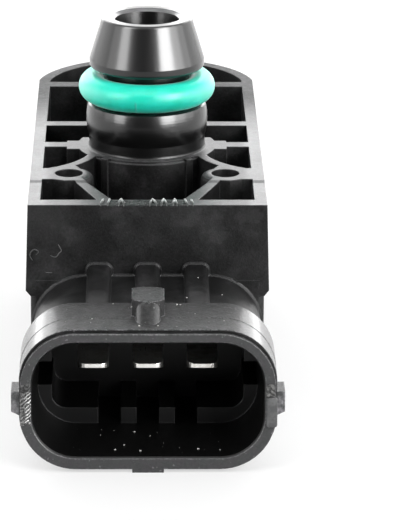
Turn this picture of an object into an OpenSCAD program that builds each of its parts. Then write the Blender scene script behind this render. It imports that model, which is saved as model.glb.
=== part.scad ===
// Manifold absolute pressure sensor: ribbed flange housing with a spigot port,
// a keyed three-way blade connector and a sealed measuring cell on a circuit board.
// Origin: port axis where it meets the mounting face. +Z points out of the port,
// -Y towards the mouth of the connector.

/* [Flange] */
// Width of the flange across its side walls at the mounting face
body_w = 22.4; // [18:0.1:27]
// Distance from the port axis to the front face
front_reach = 20.3; // [16.8:0.1:24.5]
// Distance from the port axis to the mounting hole
hole_pitch = 22; // [18.2:0.1:26.5]
// Extra radius of the round end over half the flange width
end_flare = 0.25; // [0.1:0.05:0.5]
// Height of the flange and its skirt
skirt_h = 8.4; // [6.9:0.1:10]
// Outward draft of the skirt over its height
skirt_draft = 0.23; // [0.1:0.01:0.4]
// How far the front face leans back over the height of the skirt
front_draft = 0.4; // [0.3:0.01:0.5]
// Step inwards from the skirt to the box below it
box_step = 0.45; // [0.3:0.01:0.6]
// Radius kept free round the mounting hole for the screw head
head_room = 8.5; // [7:0.1:10.2]
// How far the front of the rib tops lies below the mounting face
relief_step = 0.12; // [0.1:0.01:0.14]
// Length of this lower part behind the front face
relief_l = 7.55; // [6.3:0.05:9]

/* [Ribs] */
// Thickness of the side walls
wall_t = 1.15; // [0.9:0.05:1.4]
// Thickness of the front wall at its foot
front_wall_t = 2.1; // [1.7:0.05:2.5]
// Thickness of the cross ribs
rib_t = 1.5; // [1.2:0.05:1.8]
// Thickness of the heavy middle of the rib at the port
hub_rib_t = 3.2; // [2.6:0.1:3.9]
// Thickness of the slanted struts
strut_t = 0.85; // [0.7:0.05:1.1]
// Distance from the port axis to the second cross rib
second_rib_y = 7.55; // [6.2:0.05:9]
// Depth of the pockets between the ribs
pocket_depth = 6; // [4.9:0.1:7.2]
// Thickness of the deck under the pockets
deck_t = 1.6; // [1.3:0.1:2]
// Distance of the core-pin eyes from the front face
eye_back = 10.4; // [8.7:0.1:12.5]
// Distance of each core-pin eye from the middle
eye_x = 7.5; // [6.3:0.1:8.9]
// Diameter of the core-pin eyes
eye_d = 2.7; // [2.3:0.05:3.2]
// Radius of the boss round a core-pin eye
eye_boss_r = 2.35; // [2:0.05:2.8]
// Width of the block that joins the barrel to the second cross rib
hub_block_w = 8; // [6.7:0.1:9.5]
// How far the shoulder at both sides of the barrel stands out
shoulder_out = 1.1; // [0.9:0.05:1.3]

/* [Port] */
// Height of the port above the mounting face
port_h = 13.02; // [10.85:0.01:15.6]
// Bore of the port at its mouth
port_bore = 6.26; // [5.2:0.02:7.4]
// Outer diameter of the port's tip
tip_d = 8.88; // [7.9:0.02:10.6]
// Largest diameter of the nose above the ring groove
nose_d = 11.24; // [10:0.02:13.3]
// Height of the nose above the ring groove
nose_h = 4.97; // [4.2:0.01:5.6]
// Diameter of the neck that carries the sealing ring
neck_d = 8.3; // [7.2:0.02:9.6]
// Largest diameter of the bulged land that guides the port in its bore
land_d = 11.94; // [10.6:0.02:14.1]
// Distance from the top edge of the land down to its widest place
land_h = 1.5; // [1.2:0.05:1.8]
// Radius of the bulge of the land
land_bulge = 5.35; // [4.5:0.05:6.4]
// How far the barrel lies inside the land
barrel_in = 0.27; // [0.2:0.01:0.35]
// Thickness of the sealing ring's section
ring_section = 2.76; // [2.3:0.02:3.3]
// Free height in the ring groove
ring_play = 0.63; // [0.5:0.01:0.75]
// How far the foot of the barrel stands out inside the pockets
foot_out = 0.65; // [0.55:0.05:0.8]

/* [Mounting bush] */
// Bore of the bush
bush_bore = 6.6; // [5.5:0.1:7.8]
// Wall of the bush
bush_wall = 1.2; // [1:0.05:1.4]
// Wall of the plastic boss round the bush
boss_wall = 1.7; // [1.4:0.1:2]
// Depth of the groove that keys the bush in the plastic
bush_key = 0.3; // [0.2:0.05:0.4]

/* [Connector] */
// Length of the connector in front of the front face
conn_len = 17.34; // [14.3:0.02:20.7]
// Outer width of the rim
rim_w = 22.94; // [21:0.02:27.4]
// Outer height of the rim
rim_h = 13.12; // [11:0.02:15.7]
// Outer corner radius of the rim
rim_r = 5; // [4.1:0.1:5.4]
// Wall of the rim
rim_t = 1.07; // [0.85:0.01:1.3]
// Length of the collar behind the rim
collar_len = 7.98; // [6.6:0.02:9.5]
// Step from the collar down to the neck at the top
neck_step = 0.5; // [0.4:0.05:0.6]
// Step from the collar in to the neck at the sides
neck_side_step = 0.77; // [0.6:0.01:0.95]
// Height of the keel under the collar
keel_h = 0.34; // [0.25:0.01:0.5]
// Depth of the keying frame behind the rim
key_depth = 7.9; // [6.5:0.1:9.4]
// Width of the keying frame at the sides of the socket
key_side = 1.3; // [1.05:0.05:1.6]
// Height of the keying frame at the bottom of the socket
key_floor = 1.55; // [1.25:0.05:1.9]
// Thickness of the socket floor in front of the front face
socket_floor = 2.3; // [1.9:0.1:2.8]
// Height of the latch nose over the collar
latch_h = 1.6; // [1.3:0.05:1.95]
// Width of the latch nose
latch_w = 2.95; // [2.4:0.05:3.6]
// Length of the latch nose along its top
latch_l = 4.19; // [3.6:0.01:4.8]
// Length of the lead-in ramp in front of the latch nose
latch_ramp = 1.85; // [1.5:0.05:2.2]
// Length of the guide rails at the sides
rail_l = 2.6; // [2.1:0.05:3.1]
// Height of the stiffening ribs where they meet the front face
stiff_h = 1.18; // [0.95:0.01:1.45]
// Width of the stiffening ribs
stiff_w = 2.25; // [1.85:0.05:2.7]
// Spacing of the stiffening ribs
stiff_pitch = 4.54; // [3.8:0.02:5.5]

/* [Terminals] */
// Spacing of the terminals
pin_pitch = 5; // [4.2:0.05:6]
// Width of a terminal blade
pin_w = 2.8; // [2.3:0.05:3.4]
// Thickness of a terminal blade
pin_t = 0.8; // [0.65:0.05:1]
// Depth of the terminal tips behind the rim
pin_inset = 6.5; // [5.4:0.1:7.8]
// Height of the terminals above the middle of the socket
pin_rise = 1; // [0.8:0.05:1.2]
// Width of a terminal tail in the board
tail_w = 1.2; // [1:0.05:1.5]

/* [Back cover] */
// Thickness of the cover
cover_t = 1.6; // [1.3:0.1:2]
// How far the cover lies inside the back rim
cover_recess = 0.3; // [0.2:0.05:0.4]
// Wall round the cover
cover_rim_t = 1; // [0.8:0.05:1.2]
// Width of the ledge that carries the cover
ledge_w = 2.2; // [1.8:0.1:2.6]
// Width of the sealing groove in the ledge
groove_w = 1.1; // [0.9:0.05:1.3]
// Depth of the sealing groove
groove_d = 1; // [0.8:0.05:1.2]
// Thickness of the sealant beside and above the cover's tongue
bead_t = 0.25; // [0.2:0.01:0.3]
// Gap between the edge of the cover and its rim
cover_gap = 0.1; // [0.08:0.01:0.12]

/* [Circuit board] */
// Thickness of the board
board_t = 1; // [0.8:0.05:1.2]
// Gap between the board and the wall of the box
board_gap = 0.25; // [0.2:0.01:0.3]
// Height of the posts that carry the board
post_h = 2.4; // [2:0.1:2.9]
// Diameter of the posts
post_d = 2.4; // [2:0.1:2.9]
// Diameter of the pegs that pass through the board
peg_d = 1.1; // [0.9:0.05:1.3]
// Length of a chip capacitor
capacitor_l = 2; // [1.7:0.05:2.4]
// Width of a chip capacitor
capacitor_w = 1.25; // [1:0.05:1.5]
// Height of a chip capacitor
capacitor_h = 0.9; // [0.75:0.05:1.1]
// Spacing of the chip capacitors
capacitor_pitch = 2.6; // [2.2:0.1:3.1]
// Length of a chip resistor
resistor_l = 1.6; // [1.3:0.05:1.9]
// Width of a chip resistor
resistor_w = 0.8; // [0.7:0.05:1]
// Height of a chip resistor
resistor_h = 0.5; // [0.4:0.05:0.6]
// Distance of the chip resistors from the leads and from the back posts
resistor_room = 1.5; // [1.25:0.05:1.7]
// Width of the solder beside a terminal tail
solder_foot = 0.6; // [0.5:0.05:0.7]
// Height of the solder on the board
solder_h = 0.5; // [0.4:0.05:0.6]

/* [Measuring cell] */
// Diameter of the cell's base
base_d = 9.2; // [8.8:0.1:10.9]
// Thickness of the cell's base
base_t = 1.2; // [1:0.05:1.45]
// Gap between the board and the cell's base
base_gap = 0.3; // [0.25:0.01:0.36]
// Height of the cell's cap
cap_h = 4.3; // [3.6:0.1:5.2]
// Wall of the cap
cap_wall = 0.25; // [0.2:0.01:0.3]
// Free height between cap and cover
cap_room = 1.2; // [1:0.05:1.45]
// Outer diameter of the pressure tube
tube_d = 2.8; // [2.3:0.05:3.4]
// Bore of the pressure tube
tube_bore = 1.3; // [1:0.05:1.6]
// Outer diameter of the cell's seal
seal_d = 6.6; // [5.5:0.1:7.9]
// Height of the cell's seal
seal_h = 2.2; // [1.8:0.05:2.7]
// Side of the square silicon chip
chip_w = 2.6; // [2.2:0.05:3.1]
// Thickness of the silicon chip
chip_t = 0.4; // [0.33:0.01:0.48]
// Height of the glass pedestal
pedestal_h = 1.4; // [1.2:0.05:1.7]
// Diameter of the cell's leads
lead_d = 0.45; // [0.37:0.01:0.54]
// Diameter of the glass beads round the leads
bead_d = 1; // [0.85:0.01:1.2]
// Diameter of the circle on which the leads stand
lead_circle = 6; // [5.6:0.1:6.4]

/* [Hidden] */
$fn = 96;
eps = 0.01;

// Flange
half_w = body_w / 2;
end_r = half_w + end_flare;
far_y = hole_pitch + end_r;
box_half = half_w + skirt_draft - box_step;
box_end = hole_pitch - head_room;
relief_y = -front_reach + relief_l;
relief_ramp = 0.55;
under_chamfer = 0.55;

// Levels of the inner parts, from the mounting face down
deck_z = -pocket_depth;
ceiling_z = deck_z - deck_t;
board_top = ceiling_z - post_h;
board_bottom = board_top - board_t;
base_top = board_bottom - base_gap;
base_bottom = base_top - base_t;
cap_bottom = base_bottom - cap_h;
cover_in = cap_bottom - cap_room;
cover_out = cover_in - cover_t;
body_h = -cover_out + cover_recess;

// Port levels
groove_h = ring_section + ring_play;
groove_top = port_h - nose_h;
land_top = groove_top - groove_h;
land_chamfer = 0.25;
land_mid = land_top - land_chamfer - land_h;
barrel_r = land_d / 2 - barrel_in;
foot_fillet = 0.3;
land_low = min(acos(1 - barrel_in / land_bulge), asin((land_mid - foot_fillet) / land_bulge));
nose_lip = 0.85;
nose_round = 0.35;
tip_round = 0.3;
mouth_cut = 0.3;
nose_lean = atan2(nose_d / 2 - tip_d / 2, nose_h - nose_lip - tip_round);
bore_floor = 2;
inner_bore_r = tube_d / 2 + 0.8;
foot_step = 0.25;
ledge_r = barrel_r + 0.4;
foot_r = barrel_r + foot_out;
shoulder_r = barrel_r + shoulder_out;
seal_seat = ceiling_z + 2.6;
seal_boss_h = 0.8;
ring_gap = 0.04;
ring_flat = 0.27;
ring_r = neck_d / 2 + ring_gap - ring_flat + ring_section / 2;

// Core-pin eyes, and the centre and radius of the sweep of the arms beside them
eye_y = -front_reach + eye_back;
eye_rim = 0.35;
eye_round = 0.6;
arm_t = 0.9;
sweep = [eye_x + 6, eye_y + 8.75];
sweep_r = 8.1;

// Bush
bush_r = bush_bore / 2 + bush_wall;
boss_r = bush_r + boss_wall;
key_h = 2;

// Connector
rim_y = -front_reach - conn_len;
axis_z = -(body_h - rim_h / 2 - keel_h);
socket_w = rim_w - 2 * rim_t;
socket_h = rim_h - 2 * (rim_t + 0.08);
socket_r = rim_r - rim_t;
socket_draft = 0.3;
floor_y = -front_reach - socket_floor;
key_y = rim_y + key_depth;
neck_w = rim_w - 2 * neck_side_step;
neck_h = rim_h - 2 * neck_step;
inner_half = socket_w / 2 - socket_draft - key_side;
inner_bottom = -socket_h / 2 + socket_draft + key_floor;
inner_top = socket_h / 2 - 1.1;
inner_r = 1.3;
side_slot_h = 2.24;
side_slot_z = -0.2;
floor_slot_w = 2.05;
floor_slot_pitch = 3.53;
stiff_round = 0.6;
root_fillet = 0.22;
lip_t = 0.48;
lip_drop = 0.27;
lip_groove = 0.12;
lip_groove_d = 0.45;
collar_out = 0.15;
seam_step = 0.04;
seam = 3.8;
mouth_chamfer = 0.18;
latch_back = 0.14;
latch_front_r = 0.62 * latch_w;
latch_back_r = latch_w;
ramp_w = latch_w - 0.7;
ramp_slope = atan2(latch_h, latch_ramp + 0.1);
keel_w = 2.85;
rail_out = 0.84;
rail_top = 0.67;
rail_h = 1.91;
rail_slant = 0.66;

// Terminals
pin_z = axis_z + pin_rise;
tail_z = board_bottom - 0.6 - pin_t / 2;
tail_y = -front_reach + 5.3;
jog_y = -front_reach + 0.9;
tail_top = board_top + 0.8;
tip_chamfer = pin_t / 4;
tip_taper = 1;

// Cavity and board
cavity_inset = cover_rim_t + ledge_w;
post_x = box_half - cavity_inset - post_d / 2 - 0.4;
post_front = -front_reach + cavity_inset + 5.4;
post_back = box_end - cavity_inset - 1.9;
post_rows = [post_front, post_back];

// Cell
cap_r = base_d / 2 - 0.5;
lead_n = 6;
lead_r = lead_circle / 2;
lead_foot = base_bottom - pedestal_h - 0.1;
lead_tip = board_top + 0.7;
chip_top = base_bottom - pedestal_h;
chip_bottom = chip_top - chip_t;
wire_r = 0.06;

// Rounded rectangle about the origin
module rounded(w, h, r) {
    square([w - 2 * r, h], center = true);
    square([w, h - 2 * r], center = true);
    for (x = [-1, 1], y = [-1, 1])
        translate([x * (w / 2 - r), y * (h / 2 - r)]) circle(r);
}

// Extrudes an outline drawn in X and Z along Y, from y0 over the given length
module along_y(y0, len) {
    translate([0, y0 + len, 0]) rotate([90, 0, 0]) linear_extrude(len) children();
}

// Extrudes an outline drawn in Y and Z along X, centred
module along_x(len) {
    translate([-len / 2, 0, 0]) rotate([90, 0, 90]) linear_extrude(len) children();
}

module mirrored() {
    children();
    mirror([1, 0, 0]) children();
}

// Plan of the flange, drawn in by the given walls
module flange_plan(side, front) {
    intersection() {
        translate([-half_w + side, -front_reach + front])
            square([body_w - 2 * side, front_reach + far_y]);
        union() {
            translate([-body_w, -front_reach]) square([2 * body_w, front_reach + hole_pitch]);
            translate([0, hole_pitch]) circle(end_r - side);
        }
    }
}

// Plan of the box under the flange, drawn in all round
module box_plan(inset) {
    length = front_reach + box_end;
    translate([0, (box_end - front_reach) / 2])
        rounded(2 * (box_half - inset), length - 2 * inset, 0.6);
}

// Flange with drafted front and sides and a conical round end
module skirt() {
    intersection() {
        along_x(2 * body_w)
            polygon([[-front_reach, -skirt_h], [-front_reach + front_draft, 0],
                     [far_y + 1, 0], [far_y + 1, -skirt_h]]);
        along_y(-front_reach, front_reach + far_y + 1)
            polygon([[-half_w, 0], [half_w, 0],
                     [half_w + skirt_draft, -skirt_h], [-half_w - skirt_draft, -skirt_h]]);
        union() {
            translate([-body_w, -front_reach, -skirt_h])
                cube([2 * body_w, front_reach + hole_pitch, skirt_h]);
            translate([0, hole_pitch, -skirt_h])
                cylinder(h = skirt_h, r1 = end_r + skirt_draft, r2 = end_r);
        }
    }
}

// Chamfer from the skirt in to the box
module under_skirt() {
    along_y(-front_reach, front_reach + box_end)
        polygon([[-box_half - box_step, -skirt_h], [box_half + box_step, -skirt_h],
                 [box_half, -skirt_h - under_chamfer], [-box_half, -skirt_h - under_chamfer]]);
}

// Straight rib between two points of the plan, wider at its far end where it flares
module strut(a, b, t, flare = 0) {
    run = b - a;
    translate(a) rotate(atan2(run[1], run[0]))
        polygon([[0, -t / 2], [norm(run), -t / 2 - flare], [norm(run), t / 2 + flare], [0, t / 2]]);
}

// Everything that stays between the pockets, for one side of the plan
module side_ribs() {
    wall_x = half_w - wall_t / 2;
    translate([eye_x, eye_y]) circle(eye_d / 2 + eye_rim);
    // web from the eye out to the side wall
    polygon([[eye_x - 0.9, eye_y - 2.3], [eye_x + 0.4, eye_y - 2.4], [eye_x + 1.5, eye_y - 1.96],
             [wall_x, eye_y - 1.96], [wall_x, eye_y + 1.6], [eye_x + 1.9, eye_y + 1.7],
             [eye_x - 0.6, eye_y + 2.6], [eye_x - 1.2, eye_y + 1.2]]);
    // curved arm from the web in to the barrel
    polygon(concat(arc(sweep, sweep_r, 240, 192, 8), arc(sweep, sweep_r + arm_t, 192, 240, 8)));
    // slanted strut from the eye to the front wall
    strut([eye_x - 0.6, eye_y - 1.1], [eye_x - 3.84, -front_reach + front_wall_t / 2], strut_t, 0.27);
}

// Shoulder of the barrel beside the rib at the port
module hub_shoulder() {
    intersection() {
        circle(shoulder_r);
        translate([-body_w / 2, -4]) square([body_w, 6.5]);
    }
}

// Boss round a core-pin eye, with its rounded shoulder
module eye_boss() {
    translate([eye_x, eye_y, deck_z - eps])
        rotate_extrude()
            polygon(concat(
                [[0, 0], [eye_boss_r, 0]],
                arc([eye_boss_r - eye_round, pocket_depth - eye_round], eye_round, 0, 90, 4),
                [[0, pocket_depth]]
            ));
}

// Ribs, barrel and boss seen from above
module rib_plan(hub_r) {
    circle(hub_r);
    translate([0, hole_pitch]) circle(boss_r);
    translate([0, hole_pitch + 0.6]) square([body_w, rib_t + 0.3], center = true);
    translate([0, second_rib_y]) square([body_w, rib_t], center = true);
    translate([-hub_block_w / 2, 0]) square([hub_block_w, second_rib_y]);
    square([body_w, rib_t + 0.1], center = true);
    translate([0, -0.15]) square([2 * foot_r + 3, hub_rib_t - 0.3], center = true);
    hub_shoulder();
    translate([-rib_t / 2, second_rib_y]) square([rib_t, hole_pitch - second_rib_y]);
    // small draft ribs down the front of the barrel
    for (x = [-1, 1])
        strut([x * 3, -3], [x * 4.15, -foot_r + 1.2], 0.7);
    mirrored() side_ribs();
}

module pockets() {
    difference() {
        union() {
            translate([0, 0, -foot_step]) linear_extrude(foot_step + 1)
                difference() {
                    flange_plan(wall_t, front_wall_t);
                    rib_plan(ledge_r);
                }
            translate([0, 0, deck_z]) linear_extrude(pocket_depth - foot_step + eps)
                difference() {
                    flange_plan(wall_t, front_wall_t);
                    rib_plan(foot_r);
                }
        }
        mirrored() eye_boss();
    }
}

// Lower front part of the rib tops, up a short ramp to the mounting face
module relief() {
    along_x(body_w + 2)
        polygon([[-front_reach - 1, 1], [-front_reach - 1, -relief_step], [relief_y, -relief_step],
                 [relief_y + relief_ramp, 0], [relief_y + relief_ramp, 1]]);
}

// Points along an arc
function arc(centre, r, from, to, n) =
    [for (i = [0 : n]) let (a = from + (to - from) * i / n) centre + r * [cos(a), sin(a)]];

// Outside of the port, from the foot up to the tip
module port_outside() {
    nose_centre = [nose_d / 2 - nose_round, groove_top + nose_round];
    tip_centre = [tip_d / 2 - tip_round, port_h - tip_round];
    rotate_extrude()
        polygon(concat(
            [[0, -1], [ledge_r, -1], [ledge_r, 0]],
            arc([barrel_r + foot_fillet, foot_fillet], foot_fillet, 270, 180, 5),
            arc([land_d / 2 - land_bulge, land_mid], land_bulge, -land_low, asin(land_h / land_bulge), 12),
            [[neck_d / 2 + 1.3, land_top], [neck_d / 2, land_top], [neck_d / 2, groove_top]],
            arc(nose_centre, nose_round, -90, 0, 6),
            [[nose_d / 2, groove_top + nose_lip]],
            arc(tip_centre, tip_round, nose_lean, 90, 3),
            [[0, port_h]]
        ));
}

// Way through the port down to the seal of the measuring cell
module port_way() {
    translate([0, 0, bore_floor]) cylinder(h = port_h, r = port_bore / 2);
    translate([0, 0, port_h - mouth_cut])
        cylinder(h = 2 * mouth_cut, r1 = port_bore / 2, r2 = port_bore / 2 + 2 * mouth_cut);
    translate([0, 0, seal_seat - eps]) cylinder(h = bore_floor - seal_seat + 0.1, r = inner_bore_r);
    translate([0, 0, ceiling_z - seal_boss_h - 1])
        cylinder(h = seal_seat - ceiling_z + seal_boss_h + 1, r = seal_d / 2);
}

// Bush with its keying groove, grown by nothing: the plastic lies against it
module bush_outside() {
    translate([0, hole_pitch, -skirt_h])
        rotate_extrude()
            polygon([
                [0, 0], [bush_r, 0], [bush_r, skirt_h / 2 - key_h / 2],
                [bush_r - bush_key, skirt_h / 2 - key_h / 2],
                [bush_r - bush_key, skirt_h / 2 + key_h / 2],
                [bush_r, skirt_h / 2 + key_h / 2], [bush_r, skirt_h], [0, skirt_h]
            ]);
}

// Round-cornered block that narrows by the same draft on every side
module drafted_way(y0, len, w, h, r, draft) {
    for (turn = [0, 1]) {
        a = turn == 0 ? w / 2 : h / 2;
        b = turn == 0 ? h / 2 - r : w / 2 - r;
        rotate([0, turn * 90, 0])
            translate([0, 0, -b]) linear_extrude(2 * b)
                polygon([[-a, y0], [a, y0], [a - draft, y0 + len], [-a + draft, y0 + len]]);
    }
    for (x = [-1, 1], z = [-1, 1])
        translate([x * (w / 2 - r), y0 + len, z * (h / 2 - r)])
            rotate([90, 0, 0]) cylinder(h = len, r1 = r - draft, r2 = r);
}

// Collar and neck of the connector
module connector_outside() {
    collar_y = rim_y + lip_t + lip_groove;
    collar_w = rim_w + 2 * collar_out;
    translate([0, 0, axis_z]) {
        along_y(rim_y, lip_t) translate([0, -lip_drop / 2]) rounded(rim_w, rim_h - lip_drop, rim_r);
        along_y(rim_y + lip_t - eps, lip_groove + 2 * eps)
            rounded(rim_w - 2 * lip_groove_d, rim_h - 2 * lip_groove_d, rim_r - lip_groove_d);
        along_y(collar_y, rim_y + seam - collar_y + eps)
            rounded(collar_w - seam_step, rim_h - seam_step, rim_r);
        along_y(rim_y + seam, collar_len - seam) rounded(collar_w, rim_h, rim_r);
        along_y(rim_y + collar_len - eps, conn_len - collar_len + 1) rounded(neck_w, neck_h, rim_r);
        drafted_way(-front_reach - root_fillet, root_fillet + eps, neck_w, neck_h, rim_r, -root_fillet);
    }
}

// Bar standing on the X axis with its two upper edges rounded
module ridge(w, h, r) {
    translate([-w / 2, 0]) square([w, h - r]);
    translate([-w / 2 + r, 0]) square([w - 2 * r, h]);
    for (x = [-1, 1]) translate([x * (w / 2 - r), h - r]) circle(r);
}

// Stiffening ribs that slope from the front face down to the collar
module stiffeners() {
    run = conn_len - collar_len;
    slope = atan2(stiff_h - neck_step, run);
    root = stiff_h + 1;
    for (i = [-1 : 1])
        translate([i * stiff_pitch, 0, axis_z + neck_h / 2 + stiff_h]) {
            translate([0, -front_reach, 0]) rotate([slope, 0, 0])
                translate([0, 0, -root]) along_y(-run - 0.1, run + 0.7) ridge(stiff_w, root, stiff_round);
            translate([0, 0, -root])
                drafted_way(-front_reach - root_fillet, root_fillet + eps, stiff_w,
                    2 * root, stiff_round, -root_fillet);
        }
}

// Latch nose on top of the collar, with its half-round lead-in ramp
module latch_nose() {
    top = axis_z + rim_h / 2;
    back = rim_y + collar_len - latch_back;
    crest = back - latch_l;
    toe = crest - latch_ramp;
    root = 0.5;
    translate([0, 0, top - root]) linear_extrude(latch_h + root)
        intersection() {
            union() {
                translate([0, crest + latch_front_r]) circle(latch_front_r);
                translate([-latch_w / 2, crest + latch_front_r]) square([latch_w, latch_l]);
            }
            translate([0, back - latch_back_r]) circle(latch_back_r);
            translate([-latch_w / 2, toe]) square([latch_w, 2 * latch_l]);
        }
    intersection() {
        translate([0, toe, top]) rotate([ramp_slope - 90, 0, 0]) translate([0, ramp_w / 2, -2 * latch_ramp])
            cylinder(h = 6 * latch_ramp, r = ramp_w / 2);
        translate([-latch_w / 2, toe - 1, top - root]) cube([latch_w, latch_ramp + 2, latch_h + root]);
    }
}

// Keel under the collar and guide rails beside it
module keel_and_rails() {
    keel_top = axis_z - rim_h / 2 + 0.5;
    along_y(rim_y, collar_len)
        polygon([[-keel_w / 2, -body_h], [keel_w / 2, -body_h],
                 [keel_w / 2 + 0.05, keel_top], [-keel_w / 2 - 0.05, keel_top]]);
    mirrored() translate([rim_w / 2, 0, axis_z + rail_top])
        along_y(rim_y + lip_t + lip_groove, rail_l)
            polygon([[-0.5, 0], [rail_out, 0], [rail_out, -rail_h], [-0.5, -rail_h - rail_slant]]);
}

module socket_inside() {
    translate([0, 0, axis_z]) {
        drafted_way(rim_y - eps, key_depth + eps, socket_w, socket_h, socket_r, socket_draft);
        drafted_way(rim_y - eps, mouth_chamfer + eps, socket_w + 2 * mouth_chamfer,
            socket_h + 2 * mouth_chamfer,
                    socket_r + mouth_chamfer, mouth_chamfer);
        // opening inside the keying frame
        along_y(key_y - eps, floor_y - key_y + eps)
            translate([0, (inner_top + inner_bottom) / 2])
                rounded(2 * inner_half, inner_top - inner_bottom, inner_r);
        // key slots at both sides
        along_y(key_y - eps, floor_y - key_y + eps)
            translate([0, side_slot_z]) square([2 * (inner_half + key_side), side_slot_h], center = true);
        // key slots in the floor
        for (x = [-1, 0, 1])
            along_y(key_y - eps, floor_y - key_y + eps)
                translate([x * floor_slot_pitch, inner_bottom - key_floor / 2 + 0.5])
                    square([floor_slot_w, key_floor + 1], center = true);
    }
}

// Outline of a terminal seen from the side
module terminal_profile() {
    half = pin_t / 2;
    start = rim_y + pin_inset;
    polygon([
        [start, pin_z - half + tip_chamfer], [start + tip_taper, pin_z - half],
        [jog_y - half, pin_z - half], [jog_y + half, tail_z - half], [tail_y + half, tail_z - half],
        [tail_y + half, tail_top], [tail_y - half, tail_top], [tail_y - half, tail_z + half],
        [jog_y + half, tail_z + half], [jog_y - half, pin_z + half],
        [start + tip_taper, pin_z + half], [start, pin_z + half - tip_chamfer]
    ]);
}

// Outline of a terminal seen from above: wide blade, narrow tail
module terminal_plan() {
    half = pin_w / 2;
    start = rim_y + pin_inset;
    step_y = -front_reach + 2;
    tip = [[half, 0.75], [half - 0.15, 0.28], [half - 0.35, 0.1], [half - 0.65, 0]];
    right = concat([[tail_w / 2, tail_y + pin_t], [tail_w / 2, step_y + 0.6], [half, step_y]],
                   [for (p = tip) [p[0], start + p[1]]]);
    polygon(concat(right, [for (i = [len(right) - 1 : -1 : 0]) [-right[i][0], right[i][1]]]));
}

module terminal(x) {
    translate([x, 0, 0])
        intersection() {
            along_x(pin_w + 1) terminal_profile();
            translate([0, 0, -body_h]) linear_extrude(body_h) terminal_plan();
        }
}

module post_places() {
    for (x = [-post_x, post_x], y = post_rows) translate([x, y, 0]) children();
}

// Closed room for the board and cell, with posts and seal boss left standing
module cavity() {
    difference() {
        translate([0, 0, cover_in - eps]) linear_extrude(ceiling_z - cover_in + eps) box_plan(cavity_inset);
        post_places() translate([0, 0, board_top]) cylinder(h = post_h + 1, r = post_d / 2);
        post_places() translate([0, 0, board_bottom - eps]) cylinder(h = board_t + 2 * eps, r = peg_d / 2);
        post_places() translate([0, 0, board_bottom - 0.5]) cylinder(h = 0.5, r = peg_d / 2 + 0.45);
        translate([0, 0, ceiling_z - seal_boss_h]) cylinder(h = seal_boss_h + 1, r = seal_d / 2 + 1.2);
    }
}

module groove_ring(side, height) {
    middle = cover_rim_t + ledge_w / 2;
    linear_extrude(height)
        difference() {
            box_plan(middle - side);
            box_plan(middle + side);
        }
}

module housing() {
    color([0.10, 0.10, 0.11])
        difference() {
            union() {
                skirt();
                under_skirt();
                translate([0, 0, -body_h]) linear_extrude(body_h - skirt_h + 1) box_plan(0);
                port_outside();
                connector_outside();
                stiffeners();
                latch_nose();
                keel_and_rails();
            }
            pockets();
            relief();
            port_way();
            bush_outside();
            mirrored() translate([eye_x, eye_y, deck_z])
                cylinder(h = pocket_depth + 1, r = eye_d / 2, $fn = 48);
            cavity();
            translate([0, 0, -body_h - 1]) linear_extrude(body_h + 1 + cover_in) box_plan(cover_rim_t);
            translate([0, 0, cover_in - eps]) groove_ring(groove_w / 2, groove_d + eps);
            socket_inside();
            for (x = [-pin_pitch, 0, pin_pitch]) terminal(x);
        }
}

module back_cover() {
    color([0.13, 0.13, 0.14]) {
        translate([0, 0, cover_out]) linear_extrude(cover_t) box_plan(cover_rim_t + cover_gap);
        translate([0, 0, cover_in - eps]) groove_ring(groove_w / 2 - bead_t, groove_d - bead_t + eps);
    }
}

module cover_sealant() {
    color([0.55, 0.55, 0.52])
        difference() {
            translate([0, 0, cover_in]) groove_ring(groove_w / 2, groove_d);
            translate([0, 0, cover_in - 1]) groove_ring(groove_w / 2 - bead_t, groove_d - bead_t + 1);
        }
}

// Sealing ring, flat on the inside where it is stretched over the neck
module port_o_ring() {
    color([0.15, 0.80, 0.68])
        translate([0, 0, land_top + ring_gap + ring_section / 2])
            rotate_extrude()
                difference() {
                    translate([ring_r, 0]) circle(ring_section / 2, $fn = 64);
                    translate([0, -ring_section]) square([neck_d / 2 + ring_gap, 2 * ring_section]);
                }
}

module mounting_bush() {
    color([0.72, 0.71, 0.68])
        difference() {
            bush_outside();
            translate([0, hole_pitch, -skirt_h - 1]) cylinder(h = skirt_h + 2, r = bush_bore / 2);
        }
}

module terminal_left() {
    color([0.80, 0.79, 0.75]) terminal(-pin_pitch);
}

module terminal_middle() {
    color([0.80, 0.79, 0.75]) terminal(0);
}

module terminal_right() {
    color([0.80, 0.79, 0.75]) terminal(pin_pitch);
}

// Repeats round the axis of the cell, once for each lead
module around() {
    for (i = [0 : lead_n - 1]) rotate(360 / lead_n * (i + 0.5)) children();
}

module lead_places() {
    around() translate([lead_r, 0, 0]) children();
}

module circuit_board() {
    play = 0.1;
    color([0.10, 0.35, 0.20])
        difference() {
            translate([0, 0, board_bottom]) linear_extrude(board_t) box_plan(cavity_inset + board_gap);
            translate([0, 0, board_bottom - 1]) cylinder(h = board_t + 2, r = tube_d / 2 + 3 * play);
            translate([0, 0, board_bottom - 1]) lead_places()
                cylinder(h = board_t + 2, r = lead_d / 2 + play, $fn = 32);
            translate([0, 0, board_bottom - 1]) post_places()
                cylinder(h = board_t + 2, r = peg_d / 2, $fn = 48);
            for (x = [-pin_pitch, 0, pin_pitch])
                translate([x, tail_y, board_bottom])
                    cube([tail_w + 2 * play, pin_t + 2 * play, 3 * board_t], center = true);
        }
}

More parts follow.
